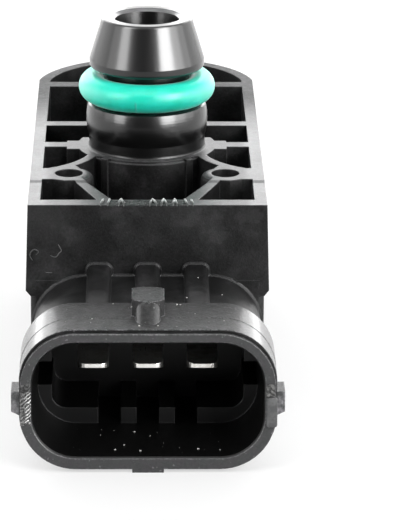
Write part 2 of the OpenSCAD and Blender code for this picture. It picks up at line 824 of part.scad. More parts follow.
// Chip capacitors: ceramic body between two slightly thicker end caps
module board_capacitors() {
    cap = 0.2 * capacitor_l;
    color([0.62, 0.50, 0.38])
        for (x = [-1 : 1])
            translate([x * capacitor_pitch, (tail_y - lead_r) / 2 - 0.2 * capacitor_l, board_top]) {
                translate([0, 0, capacitor_h / 2])
                    cube([0.96 * capacitor_w, capacitor_l - cap, 0.94 * capacitor_h], center = true);
                for (s = [-1, 1])
                    translate([-capacitor_w / 2, s * (capacitor_l - cap) / 2 - cap / 2, 0])
                        cube([capacitor_w, cap, capacitor_h]);
            }
}

module board_resistors() {
    color([0.15, 0.15, 0.16])
        for (x = [-1, 1])
            translate([x * (lead_r + resistor_room), post_back - post_d / 2 - resistor_room, board_top])
                translate([-resistor_l / 2, -resistor_w, 0]) cube([resistor_l, resistor_w, resistor_h]);
}

// Solder of the terminal tails, kept off the wall of the box
module terminal_solder() {
    wall_room = box_half - cavity_inset - pin_pitch - 0.02;
    pad_r = min(tail_w / 2 + solder_foot, wall_room);
    color([0.75, 0.75, 0.74])
        for (x = [-pin_pitch, 0, pin_pitch])
            translate([x, tail_y, board_top])
                difference() {
                    cylinder(h = solder_h, r1 = pad_r, r2 = norm([tail_w, pin_t]) / 2 + 0.08);
                    cube([tail_w, pin_t, 4 * solder_h], center = true);
                }
}

module cell_base() {
    color([0.78, 0.74, 0.62])
        difference() {
            translate([0, 0, base_bottom]) cylinder(h = base_t, r = base_d / 2);
            translate([0, 0, base_bottom - 1]) cylinder(h = base_t + 2, r = tube_d / 2);
            translate([0, 0, base_bottom - 1]) lead_places()
                cylinder(h = base_t + 2, r = bead_d / 2, $fn = 48);
        }
}

module pressure_tube() {
    color([0.80, 0.76, 0.66])
        difference() {
            translate([0, 0, base_bottom]) cylinder(h = seal_seat + 0.6 - base_bottom, r = tube_d / 2);
            translate([0, 0, base_bottom - 1]) cylinder(h = seal_seat + 3 - base_bottom, r = tube_bore / 2);
        }
}

module cell_cap() {
    color([0.74, 0.74, 0.72])
        difference() {
            union() {
                translate([0, 0, cap_bottom]) cylinder(h = cap_h, r = cap_r);
                translate([0, 0, base_bottom - cap_wall]) cylinder(h = cap_wall, r = base_d / 2);
            }
            translate([0, 0, cap_bottom + cap_wall]) cylinder(h = cap_h, r = cap_r - cap_wall);
        }
}

module glass_pedestal() {
    color([0.75, 0.85, 0.88])
        difference() {
            translate([0, 0, chip_top + pedestal_h / 2]) cube([chip_w, chip_w, pedestal_h], center = true);
            translate([0, 0, chip_top - 1]) cylinder(h = pedestal_h + 2, r = tube_bore / 2 - 0.2);
        }
}

// Silicon chip with the recess that leaves its thin pressure diaphragm
module pressure_chip() {
    color([0.35, 0.37, 0.42])
        difference() {
            translate([0, 0, chip_bottom + chip_t / 2]) cube([chip_w, chip_w, chip_t], center = true);
            translate([0, 0, chip_top]) cube([chip_w / 2, chip_w / 2, 2 * (chip_t - 0.08)], center = true);
        }
}

module cell_leads() {
    color([0.85, 0.76, 0.45])
        translate([0, 0, lead_foot]) lead_places()
            cylinder(h = lead_tip - lead_foot, r = lead_d / 2, $fn = 32);
}

module lead_glass_beads() {
    color([0.35, 0.50, 0.52])
        difference() {
            translate([0, 0, base_bottom]) lead_places() cylinder(h = base_t, r = bead_d / 2, $fn = 48);
            translate([0, 0, base_bottom - 1]) lead_places()
                cylinder(h = base_t + 2, r = lead_d / 2, $fn = 32);
        }
}

module lead_solder() {
    color([0.75, 0.75, 0.74])
        difference() {
            translate([0, 0, board_top]) lead_places()
                cylinder(h = 0.4, r1 = lead_d / 2 + 0.4, r2 = lead_d / 2 + 0.08, $fn = 32);
            translate([0, 0, board_top - 1]) lead_places() cylinder(h = 3, r = lead_d / 2, $fn = 32);
        }
}

// Thin wires from the chip's edge out to the feet of the leads
module bond_wires() {
    inner = chip_w / 2 - 0.35;
    level = min(chip_bottom, lead_foot) - 0.3;
    color([0.85, 0.85, 0.86])
        around() {
            translate([inner, 0, level]) cylinder(h = chip_bottom - level, r = wire_r, $fn = 16);
            translate([lead_r, 0, level]) cylinder(h = lead_foot - level, r = wire_r, $fn = 16);
            translate([inner - wire_r, 0, level]) rotate([0, 90, 0])
                cylinder(h = lead_r - inner + 2 * wire_r, r = wire_r, $fn = 16);
        }
}

module cell_seal() {
    lip = 0.3;
    color([0.20, 0.20, 0.22])
        translate([0, 0, seal_seat - seal_h])
            rotate_extrude()
                polygon([
                    [tube_d / 2, lip], [tube_d / 2 + lip, 0], [seal_d / 2 - lip, 0], [seal_d / 2, lip],
                    [seal_d / 2, seal_h - lip], [seal_d / 2 - lip, seal_h],
                    [tube_d / 2 + lip, seal_h], [tube_d / 2, seal_h - lip]
                ]);
}

housing();
back_cover();
cover_sealant();
port_o_ring();
mounting_bush();
terminal_left();
terminal_middle();
terminal_right();
circuit_board();
board_capacitors();
board_resistors();
terminal_solder();
cell_base();
pressure_tube();
cell_cap();
glass_pedestal();
pressure_chip();
cell_leads();
lead_glass_beads();
lead_solder();
bond_wires();
cell_seal();
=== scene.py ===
# %% [markdown]
# # A manifold pressure sensor in Blender
# The sensor is one black moulding with a port, a flange full of ribs and a plug
# socket. A green ring seals the port and three tinned blades stand in the socket.
# Its exact shapes come packed from the CAD model. This lesson gives them their
# light, their finishes and the small marks that a moulding carries.

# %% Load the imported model
import math
import random

import bmesh
import bpy
from mathutils import Matrix, Vector, noise
from mathutils.bvhtree import BVHTree


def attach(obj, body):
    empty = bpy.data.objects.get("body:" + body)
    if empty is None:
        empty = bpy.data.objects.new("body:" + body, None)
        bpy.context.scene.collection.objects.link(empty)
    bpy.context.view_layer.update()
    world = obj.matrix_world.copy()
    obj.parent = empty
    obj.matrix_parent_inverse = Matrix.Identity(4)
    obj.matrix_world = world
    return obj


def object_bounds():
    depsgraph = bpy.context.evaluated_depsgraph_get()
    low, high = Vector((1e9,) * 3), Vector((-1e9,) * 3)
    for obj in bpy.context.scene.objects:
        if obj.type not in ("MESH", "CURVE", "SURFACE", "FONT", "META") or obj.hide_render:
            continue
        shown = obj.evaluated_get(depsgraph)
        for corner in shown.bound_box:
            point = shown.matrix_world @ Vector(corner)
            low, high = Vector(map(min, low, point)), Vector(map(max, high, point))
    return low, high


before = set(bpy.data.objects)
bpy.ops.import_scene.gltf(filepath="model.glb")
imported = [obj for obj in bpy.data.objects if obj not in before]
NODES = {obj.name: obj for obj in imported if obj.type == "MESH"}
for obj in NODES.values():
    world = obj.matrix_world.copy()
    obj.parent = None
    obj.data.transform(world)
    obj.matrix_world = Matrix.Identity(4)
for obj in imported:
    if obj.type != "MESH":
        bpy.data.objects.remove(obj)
cad_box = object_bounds()
MM = 0.001
print("pieces in the frame:", len(NODES))

# %% [markdown]
# ## Camera
# A long lens from far away keeps the connector and the far end of the flange
# almost the same size. The camera stands in front of the socket, a third of a
# metre off and well above it, and looks a little past the part, so the frame has
# free space on the right. Its axes are set directly from the view direction: a
# camera looks along its own -Z, so the third axis is the direction reversed.

# %% Place the camera
EYE = Vector((-1.332, -330.47, 95.93)) * MM
PITCH = math.radians(18.827)
RIGHT_PART, UP_PART = 0.0203, 0.0129

right = Vector((1, 0, 0))
ahead = Vector((0, math.cos(PITCH), -math.sin(PITCH)))
above = Vector((0, math.sin(PITCH), math.cos(PITCH)))
back = -(ahead + RIGHT_PART * right + UP_PART * above).normalized()
side = (right - right.dot(back) * back).normalized()

camera_data = bpy.data.cameras.new("photo_camera")
camera_data.sensor_fit = "HORIZONTAL"
camera_data.sensor_width = 36
camera_data.lens = 307.4
camera_data.clip_start = 0.02
camera_data.clip_end = 50
camera = bpy.data.objects.new("photo_camera", camera_data)
bpy.context.collection.objects.link(camera)
camera.matrix_world = Matrix.Translation(EYE) @ Matrix((side, back.cross(side), back)).transposed().to_4x4()
bpy.context.scene.camera = camera
bpy.context.scene.view_settings.view_transform = "Standard"
print("camera distance to the port, mm:", round(EYE.length / MM, 1))

# %% [markdown]
# ## Studio
# The part was photographed on a white sweep. Black plastic shows hardly any
# colour of its own, so nearly all that we see on it is reflection, and each lamp
# is placed for what it draws. A wide lamp behind, low over the floor, whitens the
# rib tops, which are seen at a flat angle. Two upright cards left and right of the
# camera draw the two streaks down the port. They are hidden from diffuse rays: a
# card bright enough to show in dark plastic would bleach everything else. Softer
# lamps from the same sides light the coloured ring.

# %% Lamps
def add_softbox(name, azimuth, elevation, width, height, radiance, distance=0.7, only_gloss=False):
    """An area lamp aimed at the port. Azimuth 0 is the side of the camera, +90 the right."""
    a, e = math.radians(azimuth), math.radians(elevation)
    place = Vector((math.sin(a) * math.cos(e), -math.cos(a) * math.cos(e), math.sin(e))) * distance
    lamp = bpy.data.lights.new(name, "AREA")
    lamp.shape = "RECTANGLE"
    lamp.size, lamp.size_y = width, height
    lamp.energy = radiance * math.pi * width * height
    box = bpy.data.objects.new(name, lamp)
    box.location = place
    box.rotation_euler = (-place).to_track_quat("-Z", "Y").to_euler()
    box.visible_camera = False
    box.visible_diffuse = not only_gloss
    bpy.context.collection.objects.link(box)
    print(name, "gives", round(lamp.energy, 2), "W")


add_softbox("back_softbox", azimuth=180, elevation=27, width=1.1, height=0.42, radiance=4.6)
add_softbox("left_horizon", azimuth=-158, elevation=1, width=0.40, height=0.13, radiance=4.0, only_gloss=True)
add_softbox("right_horizon", azimuth=158, elevation=1, width=0.40, height=0.13, radiance=4.0, only_gloss=True)
add_softbox("left_card", azimuth=-53, elevation=18, width=0.27, height=0.62, radiance=9.0, only_gloss=True)
add_softbox("left_card_edge", azimuth=-77, elevation=18, width=0.28, height=0.62, radiance=2.2, only_gloss=True)
add_softbox("right_card", azimuth=41, elevation=18, width=0.34, height=0.62, radiance=17.0, only_gloss=True)
add_softbox("right_card_edge", azimuth=67, elevation=18, width=0.30, height=0.62, radiance=7.0, only_gloss=True)
add_softbox("right_card_side", azimuth=89, elevation=18, width=0.24, height=0.62, radiance=3.0, only_gloss=True)
add_softbox("front_high", azimuth=0, elevation=60, width=0.60, height=0.20, radiance=5.0, only_gloss=True)
add_softbox("left_soft", azimuth=-50, elevation=35, width=0.35, height=0.35, radiance=4.0)
add_softbox("right_soft", azimuth=45, elevation=30, width=0.35, height=0.35, radiance=7.0)
add_softbox("top_softbox", azimuth=0, elevation=78, width=0.5, height=0.5, radiance=1.4)
add_softbox("left_wall", azimuth=-112, elevation=16, width=0.5, height=0.4, radiance=1.1)
add_softbox("right_wall", azimuth=116, elevation=16, width=0.5, height=0.4, radiance=1.1)

# %% [markdown]
# The world fills in what no lamp reaches. Seen directly it is plain white.
# For all other rays it is a room: bright above and behind the
# part, dim on the camera's side. The direction of a ray, read from the
# generated coordinate, picks the tone.

# %% World
def link(tree, source, target):
    tree.links.new(source, target)


def add_node(tree, kind, x=0, y=0, **settings):
    """Adds a node at a place in the tree and sets its plain properties."""
    node = tree.nodes.new(kind)
    node.location = (x, y)
    for key, value in settings.items():
        setattr(node, key, value)
    return node


def math_node(tree, operation, a, b=None, clamp=False, x=0, y=0):
    """Math node whose inputs are sockets or plain numbers. Returns its output."""
    node = add_node(tree, "ShaderNodeMath", x, y, operation=operation, use_clamp=clamp)
    for i, value in enumerate((a, b)):
        if value is None:
            continue
        if isinstance(value, (int, float)):
            node.inputs[i].default_value = value
        else:
            link(tree, value, node.inputs[i])
    return node.outputs[0]


def ramp_between(tree, value, low, high, to_low=0.0, to_high=1.0, smooth=True, x=0, y=0):
    """Map Range from low..high to to_low..to_high, with soft ends. Returns its output."""
    node = add_node(tree, "ShaderNodeMapRange", x, y)
    node.interpolation_type = "SMOOTHSTEP" if smooth else "LINEAR"
    for name, number in zip(("From Min", "From Max", "To Min", "To Max"), (low, high, to_low, to_high)):
        node.inputs[name].default_value = number
    link(tree, value, node.inputs["Value"])
    return node.outputs["Result"]


world = bpy.data.worlds.new("white_studio")
bpy.context.scene.world = world
world.use_nodes = True
sky = world.node_tree
sky.nodes.clear()
direction = add_node(sky, "ShaderNodeTexCoord", -900, 0)
axes = add_node(sky, "ShaderNodeSeparateXYZ", -700, 0)
link(sky, direction.outputs["Generated"], axes.inputs[0])
to_back = ramp_between(sky, axes.outputs["Y"], -0.75, 0.35, 0.12, 0.95, x=-500, y=100)
to_top = ramp_between(sky, axes.outputs["Z"], 0.35, 0.95, 0.0, 0.45, x=-500, y=-150)
room_tone = math_node(sky, "MAXIMUM", to_back, to_top, x=-300)
ray = add_node(sky, "ShaderNodeLightPath", -500, 400)
tone = add_node(sky, "ShaderNodeMix", -100, 100, data_type="FLOAT")
link(sky, ray.outputs["Is Camera Ray"], tone.inputs["Factor"])
link(sky, room_tone, tone.inputs["A"])
tone.inputs["B"].default_value = 1.0
backdrop = add_node(sky, "ShaderNodeBackground", 100, 100)
link(sky, tone.outputs["Result"], backdrop.inputs["Strength"])
sky_out = add_node(sky, "ShaderNodeOutputWorld", 300, 100)
link(sky, backdrop.outputs[0], sky_out.inputs["Surface"])

# %% [markdown]
# The floor has to be white to the lens and still catch the soft shadow under the
# connector. Two shaders are mixed: one that shines a plain white to the camera
# and to reflections, and one that takes light and so takes shadow. For every ray
# but the camera's own, the sheet ends on the camera's side. That is why the middle
# of the port stays dark, while the floor is white from wherever it is seen.

# %% Floor
FLOOR_Z = cad_box[0][2]
floor_mesh = bpy.data.meshes.new("floor")
floor_mesh.from_pydata([(-2, -2, FLOOR_Z), (2, -2, FLOOR_Z), (2, 2, FLOOR_Z), (-2, 2, FLOOR_Z)], [], [(0, 1, 2, 3)])
floor = bpy.data.objects.new("floor", floor_mesh)
bpy.context.collection.objects.link(floor)

paper = bpy.data.materials.new("white_paper")
paper.use_nodes = True
sheet = paper.node_tree
sheet.nodes.clear()
lit = add_node(sheet, "ShaderNodeBsdfDiffuse", 0, 0)
lit.inputs["Color"].default_value = (0.9, 0.9, 0.9, 1)
shine = add_node(sheet, "ShaderNodeEmission", 0, -150)
shine.inputs["Strength"].default_value = 1.0
seen = add_node(sheet, "ShaderNodeLightPath", -400, 200)
direct = math_node(sheet, "MAXIMUM", seen.outputs["Is Camera Ray"], seen.outputs["Is Glossy Ray"], x=-200, y=200)
direct = math_node(sheet, "MAXIMUM", direct, seen.outputs["Is Transmission Ray"], x=-100, y=200)
share = math_node(sheet, "MULTIPLY", direct, 0.6, x=0, y=200)
spot = add_node(sheet, "ShaderNodeNewGeometry", -800, -100)
spot_axes = add_node(sheet, "ShaderNodeSeparateXYZ", -600, -100)
link(sheet, spot.outputs["Position"], spot_axes.inputs[0])
sheet_end = ramp_between(sheet, spot_axes.outputs["Y"], -0.16, -0.10, 0.06, 1.0, x=-400, y=-100)
sheet_end = math_node(sheet, "MAXIMUM", sheet_end, seen.outputs["Is Camera Ray"], x=-200, y=-150)
link(sheet, sheet_end, shine.inputs["Strength"])
tinted = add_node(sheet, "ShaderNodeCombineXYZ", -200, 0)
for i in range(3):
    link(sheet, math_node(sheet, "MULTIPLY", sheet_end, 0.9, x=-300, y=0), tinted.inputs[i])
link(sheet, tinted.outputs[0], lit.inputs["Color"])
blend = add_node(sheet, "ShaderNodeMixShader", 200, 0)
link(sheet, share, blend.inputs["Fac"])
link(sheet, lit.outputs[0], blend.inputs[1])
link(sheet, shine.outputs[0], blend.inputs[2])
paper_out = add_node(sheet, "ShaderNodeOutputMaterial", 400, 0)
link(sheet, blend.outputs[0], paper_out.inputs["Surface"])
floor_mesh.materials.append(paper)

# %% [markdown]
# ## Effects that several finishes share
# Four small node groups do the work that returns in many materials. Each one
# reads a place in millimetres, so that its sizes are easy to picture.
#
# The first rounds edges. A moulded edge is never sharp: it has a tiny radius that
# catches a line of light. The Bevel node blends the normals near an edge as if it
# were rounded, and the angle by which it turns them is a ready mask of the edges.

# %% Group: soft edges
def new_group(name, inputs, outputs):
    """Makes a shader node group. Inputs are (name, socket type, start value)."""
    tree = bpy.data.node_groups.new(name, "ShaderNodeTree")
    for label, kind, value in inputs:
        socket = tree.interface.new_socket(name=label, in_out="INPUT", socket_type=kind)
        if value is not None:
            socket.default_value = value
    for label, kind in outputs:
        tree.interface.new_socket(name=label, in_out="OUTPUT", socket_type=kind)
    return tree, add_node(tree, "NodeGroupInput", -1100, 0), add_node(tree, "NodeGroupOutput", 500, 0)


def vector_node(tree, operation, a, b=None, scale=None, x=0, y=0):
    """Vector math whose inputs are sockets or tuples. Returns the node."""
    node = add_node(tree, "ShaderNodeVectorMath", x, y, operation=operation)
    for i, value in enumerate((a, b)):
        if value is None:
            continue
        if isinstance(value, tuple):
            node.inputs[i].default_value = value
        else:
            link(tree, value, node.inputs[i])
    if scale is not None:
        node.inputs["Scale"].default_value = scale
    return node


soft_edges, enter, leave = new_group(
    "soft_edges",
    [("Radius", "NodeSocketFloat", 0.15 * MM)],
    [("Normal", "NodeSocketVector"), ("Edge", "NodeSocketFloat")])
bevel = add_node(soft_edges, "ShaderNodeBevel", -700, 0, samples=6)
link(soft_edges, enter.outputs["Radius"], bevel.inputs["Radius"])
flat = add_node(soft_edges, "ShaderNodeNewGeometry", -700, -200)
turned = vector_node(soft_edges, "DOT_PRODUCT", bevel.outputs["Normal"], flat.outputs["Normal"], x=-450)
edge = ramp_between(soft_edges, turned.outputs["Value"], 0.985, 0.80, x=-200)
link(soft_edges, bevel.outputs["Normal"], leave.inputs["Normal"])
link(soft_edges, edge, leave.inputs["Edge"])
print("group", soft_edges.name)

# %% [markdown]
# The second group is the skin of a moulding: a fine grain copied from the spark
# eroded tool, wide soft blotches where hands and air have left the surface a bit
# duller, and a few sparse dots of dust.

# %% Group: moulded skin
def noise_node(tree, vector, scale, detail=2.0, roughness=0.5, x=0, y=0):
    """Noise texture read at a place in millimetres. Returns its value."""
    node = add_node(tree, "ShaderNodeTexNoise", x, y)
    for name, number in (("Scale", scale), ("Detail", detail), ("Roughness", roughness)):
        if isinstance(number, (int, float)):
            node.inputs[name].default_value = number
        else:
            link(tree, number, node.inputs[name])
    link(tree, vector, node.inputs["Vector"])
    return node.outputs["Fac"]


moulded_skin, enter, leave = new_group(
    "moulded_skin",
    [("Place", "NodeSocketVector", None), ("Grain Scale", "NodeSocketFloat", 7.0),
     ("Blotch Scale", "NodeSocketFloat", 0.22)],
    [("Grain", "NodeSocketFloat"), ("Blotch", "NodeSocketFloat"), ("Dots", "NodeSocketFloat")])
grain = noise_node(moulded_skin, enter.outputs["Place"], enter.outputs["Grain Scale"], 3.0, 0.65, x=-700, y=200)
wide = noise_node(moulded_skin, enter.outputs["Place"], enter.outputs["Blotch Scale"], 3.0, 0.6, x=-700, y=-50)
blotch = ramp_between(moulded_skin, wide, 0.36, 0.66, x=-450, y=-50)
fine = noise_node(moulded_skin, enter.outputs["Place"], 3.1, 1.0, 0.5, x=-700, y=-300)
dots = ramp_between(moulded_skin, fine, 0.70, 0.76, x=-450, y=-300)
link(moulded_skin, grain, leave.inputs["Grain"])
link(moulded_skin, blotch, leave.inputs["Blotch"])
link(moulded_skin, dots, leave.inputs["Dots"])
print("group", moulded_skin.name)

# %% [markdown]
# The third group is settled dust. It lies only where the surface looks up, and it
# gathers in flecks. The fourth draws the fine parallel lines that
# rolling, turning and stamping leave on metal. Its place is squeezed along one axis
# before the noise is read, which stretches every speck into a line.

# %% Groups: dust and drawn lines
settled_dust, enter, leave = new_group(
    "settled_dust",
    [("Place", "NodeSocketVector", None), ("Amount", "NodeSocketFloat", 0.5)],
    [("Dust", "NodeSocketFloat")])
facing = add_node(settled_dust, "ShaderNodeNewGeometry", -900, 200)
facing_axes = add_node(settled_dust, "ShaderNodeSeparateXYZ", -700, 200)
link(settled_dust, facing.outputs["Normal"], facing_axes.inputs[0])
looks_up = ramp_between(settled_dust, facing_axes.outputs["Z"], 0.35, 0.95, x=-500, y=200)
flecks = noise_node(settled_dust, enter.outputs["Place"], 1.9, 6.0, 0.75, x=-700, y=-50)
flecks = ramp_between(settled_dust, flecks, 0.42, 0.68, x=-500, y=-50)
film = math_node(settled_dust, "MULTIPLY", looks_up, flecks, x=-250)
film = math_node(settled_dust, "MULTIPLY", film, enter.outputs["Amount"], clamp=True, x=-50)
link(settled_dust, film, leave.inputs["Dust"])

drawn_lines, enter, leave = new_group(
    "drawn_lines",
    [("Place", "NodeSocketVector", None), ("Squeeze", "NodeSocketVector", (12.0, 0.5, 12.0))],
    [("Lines", "NodeSocketFloat"), ("Tarnish", "NodeSocketFloat")])
squeezed = vector_node(drawn_lines, "MULTIPLY", enter.outputs["Place"], enter.outputs["Squeeze"], x=-900)
lines = noise_node(drawn_lines, squeezed.outputs["Vector"], 1.0, 2.0, 0.6, x=-650)
tarnish = noise_node(drawn_lines, enter.outputs["Place"], 0.6, 3.0, 0.6, x=-650, y=-250)
link(drawn_lines, lines, leave.inputs["Lines"])
link(drawn_lines, ramp_between(drawn_lines, tarnish, 0.40, 0.70, x=-400, y=-250), leave.inputs["Tarnish"])
print("groups", settled_dust.name, drawn_lines.name)

# %% [markdown]
# ## Finish of the housing
# The housing is one shot of black glass-filled plastic, but the tool was polished
# in one place and eroded in another, so it doesn't shine the same all over. The
# port is polished, the collar of the connector is matt and greyer, and the rib tops are
# lighter, partly scuffed by handling and partly a painted highlight. Some light and
# shade is painted into the base colour: the inside of the socket is painted near black
# as painted shade, and the fronts of the lugs on the collar's sides and the edge of the
# port's mouth are painted light as painted highlights. A single material does it all:
# masks made from the place on the part choose between the tones. Only the base colour,
# the roughness, the coat and the bump change. Everything else is the same all over and
# is set on the shader.

# %% Helpers for materials
def new_material(name, color=(0.5, 0.5, 0.5), roughness=0.5, metallic=0.0, specular=0.5):
    """A material with one Principled shader. Returns the tree, the shader and the place in mm."""
    material = bpy.data.materials.new(name)
    material.use_nodes = True
    tree = material.node_tree
    shader = tree.nodes["Principled BSDF"]
    shader.location = (700, 0)
    shader.inputs["Base Color"].default_value = (*color, 1)
    shader.inputs["Roughness"].default_value = roughness
    shader.inputs["Metallic"].default_value = metallic
    shader.inputs["Specular IOR Level"].default_value = specular
    where = add_node(tree, "ShaderNodeTexCoord", -1500, 0)
    place = vector_node(tree, "SCALE", where.outputs["Object"], scale=1000.0, x=-1300).outputs["Vector"]
    return material, tree, shader, place


def use_group(tree, group, x=0, y=0, **values):
    """Places a shared group. A value is a plain number or a socket to connect."""
    node = add_node(tree, "ShaderNodeGroup", x, y, node_tree=group)
    for label, value in values.items():
        socket = node.inputs[label.replace("_", " ")]
        if isinstance(value, (int, float, tuple)):
            socket.default_value = value
        else:
            link(tree, value, socket)
    return node.outputs


def mix_value(tree, share, a, b, x=0, y=0):
    """Goes from a to b with the share. Each may be a number or a socket."""
    node = add_node(tree, "ShaderNodeMix", x, y, data_type="FLOAT")
    for name, value in (("Factor", share), ("A", a), ("B", b)):
        if isinstance(value, (int, float)):
            node.inputs[name].default_value = value
        else:
            link(tree, value, node.inputs[name])
    return node.outputs["Result"]


def mix_color(tree, share, a, b, x=0, y=0):
    """Goes from colour a to colour b. Each may be a tuple or a socket."""
    node = add_node(tree, "ShaderNodeMix", x, y, data_type="RGBA")
    link(tree, share, node.inputs["Factor"])
    for name, value in (("A", a), ("B", b)):
        socket = next(s for s in node.inputs if s.name == name and s.type == "RGBA")
        if isinstance(value, tuple):
            socket.default_value = (*value, 1)
        else:
            link(tree, value, socket)
    return next(s for s in node.outputs if s.type == "RGBA")


def bump(tree, shader, height, depth_mm, normal=None, x=450, y=-300):
    """Relief of the given depth, laid over an optional normal."""
    node = add_node(tree, "ShaderNodeBump", x, y)
    node.inputs["Strength"].default_value = 1.0
    node.inputs["Distance"].default_value = depth_mm * MM
    link(tree, height, node.inputs["Height"])
    if normal is not None:
        link(tree, normal, node.inputs["Normal"])
    link(tree, node.outputs["Normal"], shader.inputs["Normal"])


def paint(node_name, material):
    """Gives a CAD node its finish."""
    mesh = NODES[node_name].data
    mesh.materials.clear()
    mesh.materials.append(material)


# %% [markdown]
# The masks come first. Four of them are simple levels: the port is all that stands
# above the mounting face, the collar all that lies in front of a plane, the rib
# tops what looks up near the mounting face. The socket needs the distance to a
# rounded rectangle, the mouth of the connector. It is found by folding the four quarters onto
# one, moving the corner's centre to the origin and measuring from there.

# %% Where each finish lies
PORT_FROM = 0.06
COLLAR_TO = -29.66
RIM_FACE = -37.64
SOCKET_FROM = -21.5
MOUTH_R = 3.30
TIP_Z = 13.02
SOCKET_MIDDLE = -13.0
SOCKET_CORNER = (10.4 - 3.93, 5.41 - 3.93)
SOCKET_CORNER_R = 3.93


def housing_masks(tree, place):
    """Masks of the port, its mouth, collar, socket, rib tops and side walls, all 0 to 1."""
    at = add_node(tree, "ShaderNodeSeparateXYZ", -1100, 300)
    link(tree, place, at.inputs[0])
    x, y, z = at.outputs
    port = ramp_between(tree, z, PORT_FROM, PORT_FROM + 0.05, x=-700, y=700)
    collar = ramp_between(tree, y, COLLAR_TO + 0.03, COLLAR_TO - 0.03, x=-700, y=550)
    from_middle = math_node(tree, "ABSOLUTE", math_node(tree, "SUBTRACT", z, SOCKET_MIDDLE, x=-900, y=350), x=-800, y=350)
    side_way = math_node(tree, "SUBTRACT", math_node(tree, "ABSOLUTE", x, x=-900, y=450), SOCKET_CORNER[0], x=-700, y=450)
    up_way = math_node(tree, "SUBTRACT", from_middle, SOCKET_CORNER[1], x=-700, y=350)
    corner = add_node(tree, "ShaderNodeCombineXYZ", -550, 400)
    link(tree, math_node(tree, "MAXIMUM", side_way, 0.0, x=-620, y=450), corner.inputs[0])
    link(tree, math_node(tree, "MAXIMUM", up_way, 0.0, x=-620, y=350), corner.inputs[1])
    reach = vector_node(tree, "LENGTH", corner.outputs[0], x=-450, y=400).outputs["Value"]
    socket = ramp_between(tree, reach, SOCKET_CORNER_R + 0.16, SOCKET_CORNER_R + 0.12, x=-300, y=400)
    in_front = ramp_between(tree, y, SOCKET_FROM, SOCKET_FROM - 0.1, x=-500, y=200)
    behind_rim = ramp_between(tree, y, RIM_FACE + 0.02, RIM_FACE + 0.12, x=-500, y=100)
    socket = math_node(tree, "MULTIPLY", socket, math_node(tree, "MULTIPLY", in_front, behind_rim, x=-300, y=150), x=-150, y=300)
    from_axis = add_node(tree, "ShaderNodeCombineXYZ", -700, -300)
    link(tree, x, from_axis.inputs[0])
    link(tree, y, from_axis.inputs[1])
    from_axis = vector_node(tree, "LENGTH", from_axis.outputs[0], x=-550, y=-300).outputs["Value"]
    mouth = math_node(tree, "MULTIPLY", port, ramp_between(tree, from_axis, MOUTH_R + 0.02, MOUTH_R - 0.02, x=-400, y=-300), x=-200, y=-300)
    side_wall = ramp_between(tree, math_node(tree, "ABSOLUTE", x, x=-700, y=-450), 9.0, 10.0, x=-500, y=-450)
    facing = add_node(tree, "ShaderNodeNewGeometry", -1100, -100)
    facing_axes = add_node(tree, "ShaderNodeSeparateXYZ", -900, -100)
    link(tree, facing.outputs["Normal"], facing_axes.inputs[0])
    tops = math_node(tree, "MULTIPLY", ramp_between(tree, z, -0.6, -0.5, x=-700, y=0),
                     ramp_between(tree, facing_axes.outputs["Z"], 0.6, 0.9, x=-700, y=-150), x=-500, y=-50)
    tops = math_node(tree, "SUBTRACT", tops, port, clamp=True, x=-350, y=-50)
    far_end = ramp_between(tree, y, 4.0, 20.0, x=-500, y=-600)
    rim = ramp_between(tree, y, RIM_FACE + 0.25, RIM_FACE + 0.15, x=-500, y=-750)
    flare = math_node(tree, "MULTIPLY", mouth, ramp_between(tree, z, 11.0, 13.0, 1.0, 0.0, smooth=False, x=-500, y=-900), x=-300, y=-900)
    flat_front = math_node(tree, "MULTIPLY", ramp_between(tree, y, -20.40, -20.34, x=-500, y=-1050),
                           ramp_between(tree, y, -20.15, -20.20, x=-500, y=-1200), x=-300, y=-1100)
    flat_front = math_node(tree, "MULTIPLY", flat_front, ramp_between(tree, z, -7.25, -7.30, x=-300, y=-1250), x=-200, y=-1100)
    flat_front = math_node(tree, "MULTIPLY", flat_front, ramp_between(tree, z, -7.65, -7.60, x=-300, y=-1400), x=-100, y=-1100)
    rails = math_node(tree, "MULTIPLY", collar, ramp_between(tree, math_node(tree, "ABSOLUTE", x, x=-700, y=-1350), 11.54, 11.60, x=-500, y=-1350), x=-300, y=-1500)
    foot = ramp_between(tree, z, 1.0, 2.8, 0.25, 1.0, x=-500, y=-1650)
    lip = ramp_between(tree, z, TIP_Z - 0.12, TIP_Z - 0.04, x=-500, y=-1800)
    lip_gloss = ramp_between(tree, math_node(tree, "ABSOLUTE", x, x=-700, y=-1750), 1.2, 3.6, 0.10, 0.70, x=-500, y=-1750)
    port_gloss = math_node(tree, "MULTIPLY", port, mix_value(tree, lip, 0.9, lip_gloss, x=-350, y=-1750), x=-200, y=-1750)
    port_gloss = math_node(tree, "MULTIPLY", port_gloss, foot, x=-50, y=-1750)
    # A band round the edge of the port's mouth, painted light grey below: a painted highlight.
    painted_mouth_highlight = math_node(tree, "MULTIPLY", ramp_between(tree, z, TIP_Z - 0.34, TIP_Z - 0.28, x=-500, y=-1950),
                           ramp_between(tree, from_axis, MOUTH_R + 0.20, MOUTH_R + 0.12, x=-500, y=-2100), x=-300, y=-2000)
    return port, port_gloss, painted_mouth_highlight, mouth, collar, rim, socket, tops, side_wall, far_end, rails, facing_axes.outputs["X"], facing_axes.outputs["Y"], flare, flat_front


# %% Housing material
housing_plastic, tree, shader, place = new_material("housing_plastic", specular=0.20)
port, port_gloss, painted_mouth_highlight, mouth, collar, rim, socket, tops, side_wall, far_end, rails, facing_x, facing_y, flare, flat_front = housing_masks(tree, place)
edges = use_group(tree, soft_edges, x=-300, y=-700, Radius=0.16 * MM)
skin = use_group(tree, moulded_skin, x=-300, y=-400, Place=place)
dust = use_group(tree, settled_dust, x=-300, y=-550, Place=place, Amount=0.8)["Dust"]
collar_skin = use_group(tree, moulded_skin, x=-300, y=-850, Place=place, Grain_Scale=4.5, Blotch_Scale=0.9)

